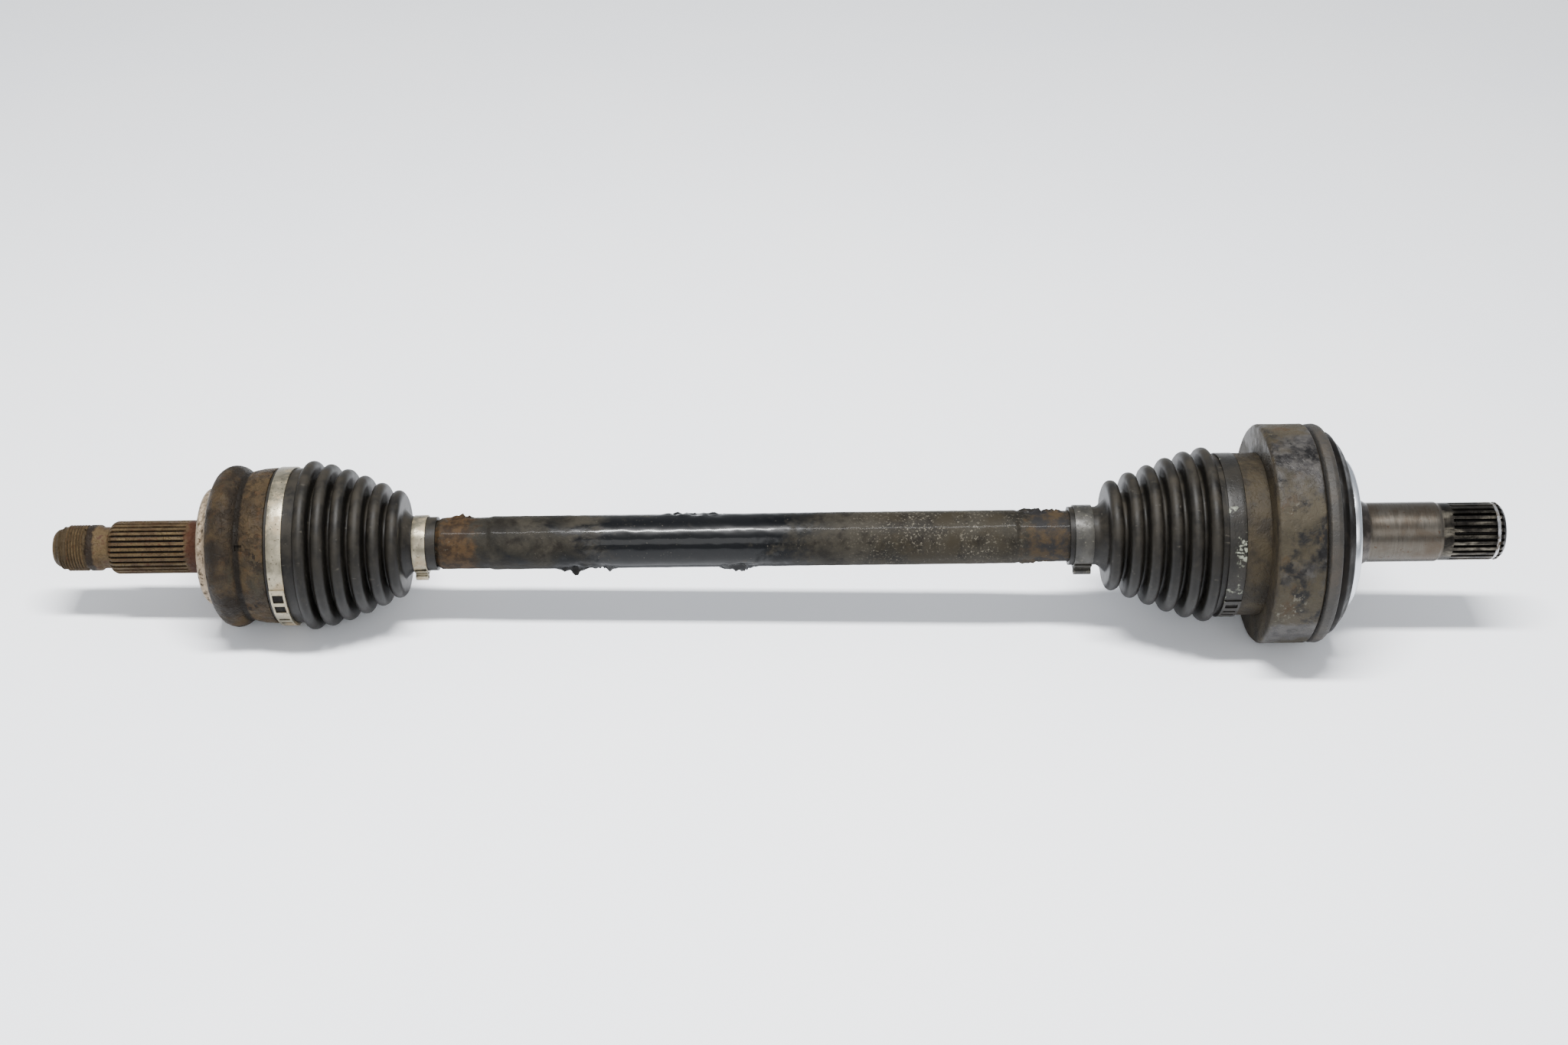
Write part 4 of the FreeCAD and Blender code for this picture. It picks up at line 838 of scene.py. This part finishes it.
def ear(name, node, degrees, height, foot):
    """Folded ear of a band: strip bent into a loop that is narrower at its foot than at its top."""
    low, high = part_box(node)
    outer = band_bore[node] + strip * 0.6
    top = arc((0, outer + height - foot * 0.42), foot * 0.5, 25, 155, 8)
    line = [(foot * 1.3, outer - 0.3 * mm), (foot * 0.62, outer + 0.2 * mm),
            (foot * 0.34, outer + height * 0.35)]
    line += top + [(-across, up) for across, up in line[::-1]]
    piece = drawn_line(name, [(low.x + 0.3 * mm, -across, up) for across, up in line])
    bpy.ops.mesh.extrude_region_move(TRANSFORM_OT_translate={"value": (high.x - low.x - 0.6 * mm, 0, 0)})
    bpy.ops.mesh.select_all(action="SELECT")
    bpy.ops.mesh.normals_make_consistent(inside=False)
    bpy.ops.object.mode_set(mode="OBJECT")
    wall = piece.modifiers.new("wall", "SOLIDIFY")
    wall.thickness = strip * 0.8
    wall.offset = 0.0
    apply_modifier(piece, wall)
    edges = piece.modifiers.new("edges", "BEVEL")
    edges.width = 0.15 * mm
    edges.segments = 2
    edges.limit_method = "ANGLE"
    apply_modifier(piece, edges)
    turn = Matrix.Rotation(math.radians(degrees), 4, "X")
    piece.matrix_world = turn
    make_active(piece)
    bpy.ops.object.transform_apply()
    return piece


def join(pieces):
    """Make one object of several."""
    bpy.ops.object.select_all(action="DESELECT")
    for piece in pieces:
        piece.select_set(True)
    bpy.context.view_layer.objects.active = pieces[0]
    bpy.ops.object.join()
    return pieces[0]


galvanised, tree, shader, place = new_material("galvanised_strip")
zinc = mottled(tree, place, 130, 0.38, 0.62, (126, 120, 103, 1.3), (158, 150, 129, 1.3))
stains = patch(tree, place, 90, 0.5, 0.64)
zinc = mix(tree, stains, zinc, colour(150, 134, 106, 1.4))
specks = patch(tree, place, 700, 0.6, 0.66)
zinc = mix(tree, specks, zinc, colour(96, 84, 66))
feed(tree, shader, "Base Color", zinc)
feed(tree, shader, "Metallic", blend_value(tree, stains, 0.85, 0.35))
feed(tree, shader, "Roughness", blend_value(tree, stains, 0.34, 0.55))
height = corroded(tree, place, 1100, 450, 0.36)["Height"]
raise_bumps(tree, shader, height, 0.3, 0.12 * mm)
dull_zinc, tree, shader, place = new_material("dull_strip")
zinc = mottled(tree, place, 130, 0.36, 0.62, (62, 59, 52), (94, 90, 79))
zinc = mix(tree, patch(tree, place, 420, 0.6, 0.68), zinc, colour(150, 144, 128))
feed(tree, shader, "Base Color", zinc)
shader.inputs["Metallic"].default_value = 0.3
feed(tree, shader, "Roughness", blend_value(tree, patch(tree, place, 200, 0.4, 0.6), 0.38, 0.6))
height = corroded(tree, place, 1100, 450, 0.36)["Height"]
raise_bumps(tree, shader, height, 0.35, 0.15 * mm)
for name, node, finish in (("wheel_neck_clamp", "outboard_small_clamp", galvanised),
                           ("diff_neck_clamp", "inboard_small_clamp", dull_zinc)):
    small_clamp = join([band(name, node), ear(name + "_ear", node, ear_turn, ear_height, ear_foot)])
    finish_smooth(small_clamp, 40)
    wear(small_clamp, finish)
    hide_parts(node)
    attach(small_clamp, "bar")

# ------------------------------------------------------------------ clamps with a low hook
# Two wide bands on the boots' large ends. The outer end of each overlaps the band and is caught on two
# low hooks pressed out of it, so there is no ear. The wheel one is bright and the other dark and worn.
seat_band_steps = 240
overlap_steps = 72
overlap_bedding = 0.05 * mm
slot_depth = 0.62 * mm
slot_margin = 0.14
# Painted shade: near-black paint for the floors of the clamps' slots.
slot_shade, tree, shader, place = new_material("painted_slot_shade")
shader.inputs["Specular IOR Level"].default_value = 0.1
feed(tree, shader, "Base Color", mottled(tree, place, 400, 0.4, 0.6, (22, 20, 17), (52, 46, 38)))
shader.inputs["Roughness"].default_value = 0.7


def overlap(name, node, start, end, slots, finish):
    """Outer end of a band lying over it, with shallow slots; angles in degrees from the top."""
    low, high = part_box(node)
    floor = band_bore[node] + strip - overlap_bedding
    top = floor + strip * 0.8
    margin = (high.x - low.x) * slot_margin
    outline = [(low.x, floor), (low.x, top), (low.x + margin, top), (high.x - margin, top), (high.x, top),
               (high.x, floor), (low.x, floor)]
    piece = turned(name, outline, overlap_steps, math.radians(end - start), math.radians(start))
    for first, last in slots:
        def in_slot(point):
            degrees = math.degrees(around_axle(point))
            inside = low.x + margin * 0.9 < point.x < high.x - margin * 0.9
            return inside and first < degrees < last and off_axle(point) > top - 0.1 * mm

        select_points(piece, in_slot)
        bpy.ops.mesh.select_mode(type="FACE")
        bpy.ops.mesh.extrude_region_shrink_fatten(TRANSFORM_OT_shrink_fatten={"value": -slot_depth})
        bpy.ops.object.mode_set(mode="OBJECT")
        # The slots' faces take the second material, the painted shade.
        for face in piece.data.polygons:
            if face.select:
                face.material_index = 1
    select_points(piece, lambda point: True)
    bpy.ops.mesh.select_mode(type="EDGE")
    bpy.ops.mesh.select_all(action="DESELECT")
    bpy.ops.mesh.select_non_manifold()
    bpy.ops.mesh.edge_face_add()
    bpy.ops.object.mode_set(mode="OBJECT")
    piece.data.materials.append(finish)
    piece.data.materials.append(slot_shade)
    return piece


dark_strip, tree, shader, place = new_material("dark_strip")
shader.inputs["Specular IOR Level"].default_value = 0.2
coating = mottled(tree, place, 90, 0.36, 0.62, (46, 43, 38), (68, 63, 55))
flaked = both(tree, patch(tree, place, 48, 0.56, 0.62), patch(tree, place, 420, 0.48, 0.54))
coating = mix(tree, flaked, coating, colour(170, 174, 156, 2.6))
feed(tree, shader, "Base Color", coating)
feed(tree, shader, "Roughness", blend_value(tree, flaked, 0.42, 0.6))
height = corroded(tree, place, 1000, 400, 0.38)["Height"]
raise_bumps(tree, shader, height, 0.35, 0.2 * mm)
for name, node, body, slot, finish, start, end, slots in (
        ("wheel_seat_clamp", "outboard_large_clamp", "outboard_joint", "galvanised_steel", galvanised,
         88, 147, [(92, 100), (102.5, 110.5), (119, 122), (126, 129), (133, 136)]),
        ("diff_seat_clamp", "inboard_large_clamp", "inboard_joint", "dark_strip", dark_strip,
         108, 150, [(112, 117), (121, 124), (128, 131), (135, 138)])):
    seat_band = band(name, node, seat_band_steps)
    wear(seat_band, finish)
    large_clamp = join([seat_band, overlap(name + "_overlap", node, start, end, slots, finish)])
    finish_smooth(large_clamp, 40)
    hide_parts(node)
    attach(large_clamp, body)

# ------------------------------------------------------------------ differential housing and its ring
# The drum that holds the three rollers, machined from tube, and the broad ring pressed over it. Both
# have an olive brown film with bare and blackened patches, and pale oxide where the film has gone.
olive, tree, shader, place = new_material("olive_film")
shader.inputs["Specular IOR Level"].default_value = 0.16
height = corroded(tree, place, 640, 260, 0.42)["Height"]
surface = mottled(tree, place, 40, 0.38, 0.6, (82, 74, 56), (108, 98, 78))
surface = mix(tree, patch(tree, place, 95, 0.54, 0.68), surface, colour(104, 84, 56))
bare = patch(tree, place, 30, 0.5, 0.62)
bare_steel = mottled(tree, place, 180, 0.4, 0.6, (84, 81, 80), (118, 114, 110))
surface = mix(tree, bare, surface, bare_steel)
blackened = both(tree, patch(tree, place, 34, 0.48, 0.58), patch(tree, place, 200, 0.38, 0.56))
surface = mix(tree, blackened, surface, colour(38, 36, 36))
oxide = both(tree, patch(tree, place, 42, 0.56, 0.7), patch(tree, place, 480, 0.54, 0.62))
surface = mix(tree, oxide, surface, colour(160, 154, 138))
rims = maths(tree, "MAXIMUM", between(tree, place, diff_place(-20.0), diff_place(-3.6), 1.5 * mm, 3 * mm),
             between(tree, place, diff_place(18.2), diff_place(21.0), 0.8 * mm))
surface = mix(tree, rims, surface, mottled(tree, place, 70, 0.4, 0.62, (66, 58, 46), (96, 84, 62)))
feed(tree, shader, "Base Color", surface)
feed(tree, shader, "Metallic", both(tree, bare, patch(tree, place, 300, 0.4, 0.9)))
feed(tree, shader, "Roughness", blend_value(tree, bare, 0.6, 0.42))
raise_bumps(tree, shader, height, 0.5, 0.35 * mm)
wear(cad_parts["inboard_housing"], olive)
ring_low, ring_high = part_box("inboard_ring")
ring_steps = 256
ring_bore = 42.3 * mm
ring_chamfer = 1.3 * mm
seam_depth = 2.4 * mm
ring_middle = (ring_low.x + ring_high.x) / 2
ring = turned("ring", eased([
    (ring_middle, ring_bore),
    (ring_low.x, ring_bore),
    (ring_low.x, ring_high.z - ring_chamfer),
    (ring_low.x + ring_chamfer, ring_high.z),
    (ring_high.x - ring_chamfer, ring_high.z),
    (ring_high.x, ring_high.z - seam_depth),
    (ring_high.x, ring_bore),
    (ring_middle, ring_bore),
], 0.5 * mm, 2 * mm), ring_steps)
roughen(ring, 0.3 * mm, 9 * mm, lambda point: 1.0 if off_axle(point) > ring_bore + mm else 0.0)
finish_smooth(ring, 38)
wear(ring, olive)
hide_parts("inboard_ring")
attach(ring, "inboard_joint")

# ------------------------------------------------------------------ differential stub
# One forging: a flange that closes the housing, seats for the seal and the machined ring, a tapered
# root, a ground journal and a splined end with a clip groove. Rusty flange, brown film on the journal.
stub_steps = 216
stub_teeth = 27
stub_crest = 15.1 * mm
stub_root = 13.8 * mm
clip_low, clip_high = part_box("diff_stub_clip")
clip_floor = 13.2 * mm
flange_outline = in_mm([
    (33.8, 0), (33.8, 37.0), (19.8, 37.0), (19.8, 54.8), (21.3, 56.9), (24.6, 57.2), (26.6, 56.4),
    (27.4, 54.8), (27.4, 44.0), (36.0, 44.0), (36.0, 34.0), (41.2, 34.0), (41.2, 25.0), (43.4, 21.6),
    (45.8, 19.2), (52.2, 15.6), (88.2, 15.6), (89.2, 15.1), (92.6, 15.1), (94.6, 15.1), (96.4, 15.1),
])


def from_diff(points):
    """Outline whose stations are counted from the differential joint's centre."""
    return [(diff_centre + along, out) for along, out in points]


clip_start = clip_low.x - diff_centre
clip_end = clip_high.x - diff_centre
flange_outline += [
    (clip_start, stub_crest), (clip_start, clip_floor), (clip_end, clip_floor), (clip_end, stub_crest),
    (120.2 * mm, stub_crest), (122.4 * mm, 13.2 * mm), (123.2 * mm, 11.4 * mm), (123.2 * mm, 5.0 * mm),
    (119.0 * mm, 0),
]
stub = turned("stub", from_diff(eased(flange_outline, 0.35 * mm, 2 * mm)), stub_steps)
press_spline(stub, diff_place(95.6), diff_place(121.0), stub_crest, stub_root, stub_teeth)
finish_smooth(stub, 38)
journal, tree, shader, place = new_material("stub_steel")
out = round_out(tree, place)
brushed = patch(tree, place, 70, 0.3, 0.7, along=14.0)
steel = mix(tree, brushed, colour(118, 112, 103, 2.8), colour(134, 127, 117, 2.8))
steel = mix(tree, patch(tree, place, 60, 0.42, 0.66), steel, colour(114, 102, 89, 2.9))
steel = mix(tree, patch(tree, place, 420, 0.6, 0.68), steel, colour(84, 70, 58, 1.6))
toothed = between(tree, place, diff_place(89.4), diff_place(124.0), 0.8 * mm)
spline_oil_shade_and_highlight = mottled(tree, place, 150, 0.4, 0.62, (36, 33, 30, 2.0), (62, 58, 52, 2.0))
# Rubbed metal and a painted highlight: the spline's crests are made pale.
crest_rub_and_highlight = both(tree, over(tree, out, 14.9 * mm, 15.08 * mm), patch(tree, place, 120, 0.5, 0.66, along=0.4))
spline_oil_shade_and_highlight = mix(tree, crest_rub_and_highlight, spline_oil_shade_and_highlight, colour(120, 114, 102, 1.6))
# Painted shade: the spline's grooves, the clip groove and the end are made near black.
spline_oil_shade_and_highlight = mix(tree, over(tree, out, 14.6 * mm, 13.9 * mm), spline_oil_shade_and_highlight, colour(24, 22, 20))
steel = mix(tree, toothed, steel, spline_oil_shade_and_highlight)
flange_rust = mottled(tree, place, 110, 0.38, 0.62, (56, 50, 41), (76, 68, 56))
flange_rust = mix(tree, patch(tree, place, 50, 0.5, 0.64), flange_rust, colour(86, 74, 58))
# Painted shade: the flange's face in the groove beside the ring is made dark.
seam_shade = between(tree, place, diff_place(18.6), diff_place(21.0), 0.5 * mm)
flange_rust = mix(tree, seam_shade, flange_rust, colour(40, 34, 26))
flange = between(tree, place, diff_place(19.0), diff_place(36.2), 0.3 * mm)
steel = mix(tree, flange, steel, flange_rust)
rooted = between(tree, place, diff_place(41.0), diff_place(51.8), 0.6 * mm)
steel = mix(tree, rooted, steel, mottled(tree, place, 140, 0.4, 0.6, (60, 54, 50, 2.0), (96, 88, 82, 2.0)))
feed(tree, shader, "Base Color", steel)
feed(tree, shader, "Metallic", blend_value(tree, flange, blend_value(tree, rooted, 0.9, 0.7), 0.1))
gloss = blend_value(tree, flange, blend_value(tree, brushed, 0.26, 0.36), 0.66)
feed(tree, shader, "Roughness", gloss)
height = corroded(tree, place, 800, 320, 0.4)["Height"]
skin = blend_value(tree, flange, blend_value(tree, brushed, 0.45, 0.5), height)
raise_bumps(tree, shader, skin, 0.5, 0.3 * mm)
wear(stub, journal)
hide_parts("inboard_stub")
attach(stub, "inboard_joint")

# ------------------------------------------------------------------ seal and machined ring
# A black rubber seal squeezed behind the flange, and the bright steel ring that it keeps dirt from.
# The ring is pressed on the stub's spigot and polished by the housing bore that it runs in.
seal_outline = eased(in_mm([
    (31.0, 44.0), (27.4, 44.0), (27.4, 53.0), (29.2, 53.2), (31.0, 52.8), (33.4, 49.6), (35.2, 47.6),
    (36.0, 46.0), (36.0, 44.0), (31.0, 44.0),
]), 0.5 * mm, 1.5 * mm)
seal = turned("dust_seal", from_diff(seal_outline), stub_steps)
finish_smooth(seal, 45)
black_rubber, tree, shader, place = new_material("seal_rubber")
shader.inputs["Specular IOR Level"].default_value = 0.08
feed(tree, shader, "Base Color", mottled(tree, place, 120, 0.4, 0.65, (22, 20, 18), (44, 38, 32)))
feed(tree, shader, "Roughness", blend_value(tree, patch(tree, place, 90, 0.4, 0.6), 0.36, 0.55))
wear(seal, black_rubber)
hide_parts("inboard_dust_seal")
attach(seal, "inboard_joint")
wear_low, wear_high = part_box("inboard_wear_ring")
spigot = 34.0 * mm
wear_middle = (wear_low.x + wear_high.x) / 2
wear_ring = turned("wear_ring", eased([
    (wear_middle, spigot),
    (wear_low.x, spigot),
    (wear_low.x, wear_high.z),
    (wear_high.x - 1.2 * mm, wear_high.z),
    (wear_high.x, wear_high.z - 1.0 * mm),
    (wear_high.x, spigot),
    (wear_middle, spigot),
], 0.4 * mm, 1.5 * mm), stub_steps)
finish_smooth(wear_ring, 45)
polished, tree, shader, place = new_material("polished_ring")
brushed = patch(tree, place, 80, 0.35, 0.65, along=30.0)
bright_steel = mix(tree, brushed, colour(186, 190, 196, 1.0), colour(204, 208, 214, 1.0))
feed(tree, shader, "Base Color", bright_steel)
feed(tree, shader, "Roughness", blend_value(tree, brushed, 0.2, 0.28))
shader.inputs["Metallic"].default_value = 1.0
wear(wear_ring, polished)
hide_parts("inboard_wear_ring")
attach(wear_ring, "inboard_joint")

# ------------------------------------------------------------------ floor, light and camera
# The axle lies on white paper, on the rims of the bell's bead and of the broad ring, under one soft
# lamp nearly overhead. The camera looks down on it from the front.
camera_data = bpy.data.cameras.new("camera")
camera_data.lens = 48.3
camera_data.sensor_width = 36.0
camera_data.clip_end = 20.0
camera = bpy.data.objects.new("camera", camera_data)
bpy.context.scene.collection.objects.link(camera)
elevation = math.radians(35.0)
roll = math.radians(0.7)
distance = 1.1
look = Vector((0, math.cos(elevation), -math.sin(elevation)))
upright = Vector((0, math.sin(elevation), math.cos(elevation)))
across_axis = Vector((1, 0, 0))
right = across_axis * math.cos(roll) - upright * math.sin(roll)
up = upright * math.cos(roll) + across_axis * math.sin(roll)
camera_place = Vector((9 * mm, 0, 0)) + up * 8.8 * mm - look * distance
camera.matrix_world = Matrix((
    (right.x, up.x, -look.x, camera_place.x),
    (right.y, up.y, -look.y, camera_place.y),
    (right.z, up.z, -look.z, camera_place.z),
    (0, 0, 0, 1)))
bpy.context.scene.camera = camera

floor_gap = 0.5 * mm
bead_foot = (wheel_centre - bead_peak[0], -bead_peak[1] - floor_gap)
ring_foot = (ring_middle, -ring_high.z - floor_gap)
fall = (ring_foot[1] - bead_foot[1]) / (ring_foot[0] - bead_foot[0])
bpy.ops.object.select_all(action="DESELECT")
bpy.ops.mesh.primitive_plane_add(size=8, location=(0, 0, bead_foot[1] - bead_foot[0] * fall),
                                 rotation=(0, -math.atan(fall), 0))
floor = bpy.context.active_object
floor.name = floor.data.name = "floor"
paper, tree, shader, place = new_material("paper")
feed(tree, shader, "Base Color",
     mix(tree, patch(tree, place, 3, 0.3, 0.7), (0.88, 0.9, 0.94, 1.0), (0.92, 0.93, 0.95, 1.0)))
shader.inputs["Roughness"].default_value = 0.9
wear(floor, paper)

world = bpy.data.worlds.new("studio")
bpy.context.scene.world = world
world.use_nodes = True
sky = world.node_tree.nodes["Background"]
sky.inputs["Color"].default_value = (0.93, 0.96, 1.0, 1)
sky.inputs["Strength"].default_value = 0.74
for name, spot, size, power, aim_at in (("lamp", (0.0, -0.22, 1.3), (0.9, 0.12), 54, (0, 0, 0)),
                                        ("front_fill", (0.1, -1.6, 1.0), (1.6, 0.8), 16, (0, -0.3, 0))):
    light = bpy.data.lights.new(name, "AREA")
    light.shape = "RECTANGLE"
    light.size, light.size_y = size
    light.energy = power
    lamp = bpy.data.objects.new(name, light)
    bpy.context.scene.collection.objects.link(lamp)
    lamp.location = spot
    lamp.rotation_euler = (Vector(aim_at) - Vector(spot)).to_track_quat("-Z", "Y").to_euler()
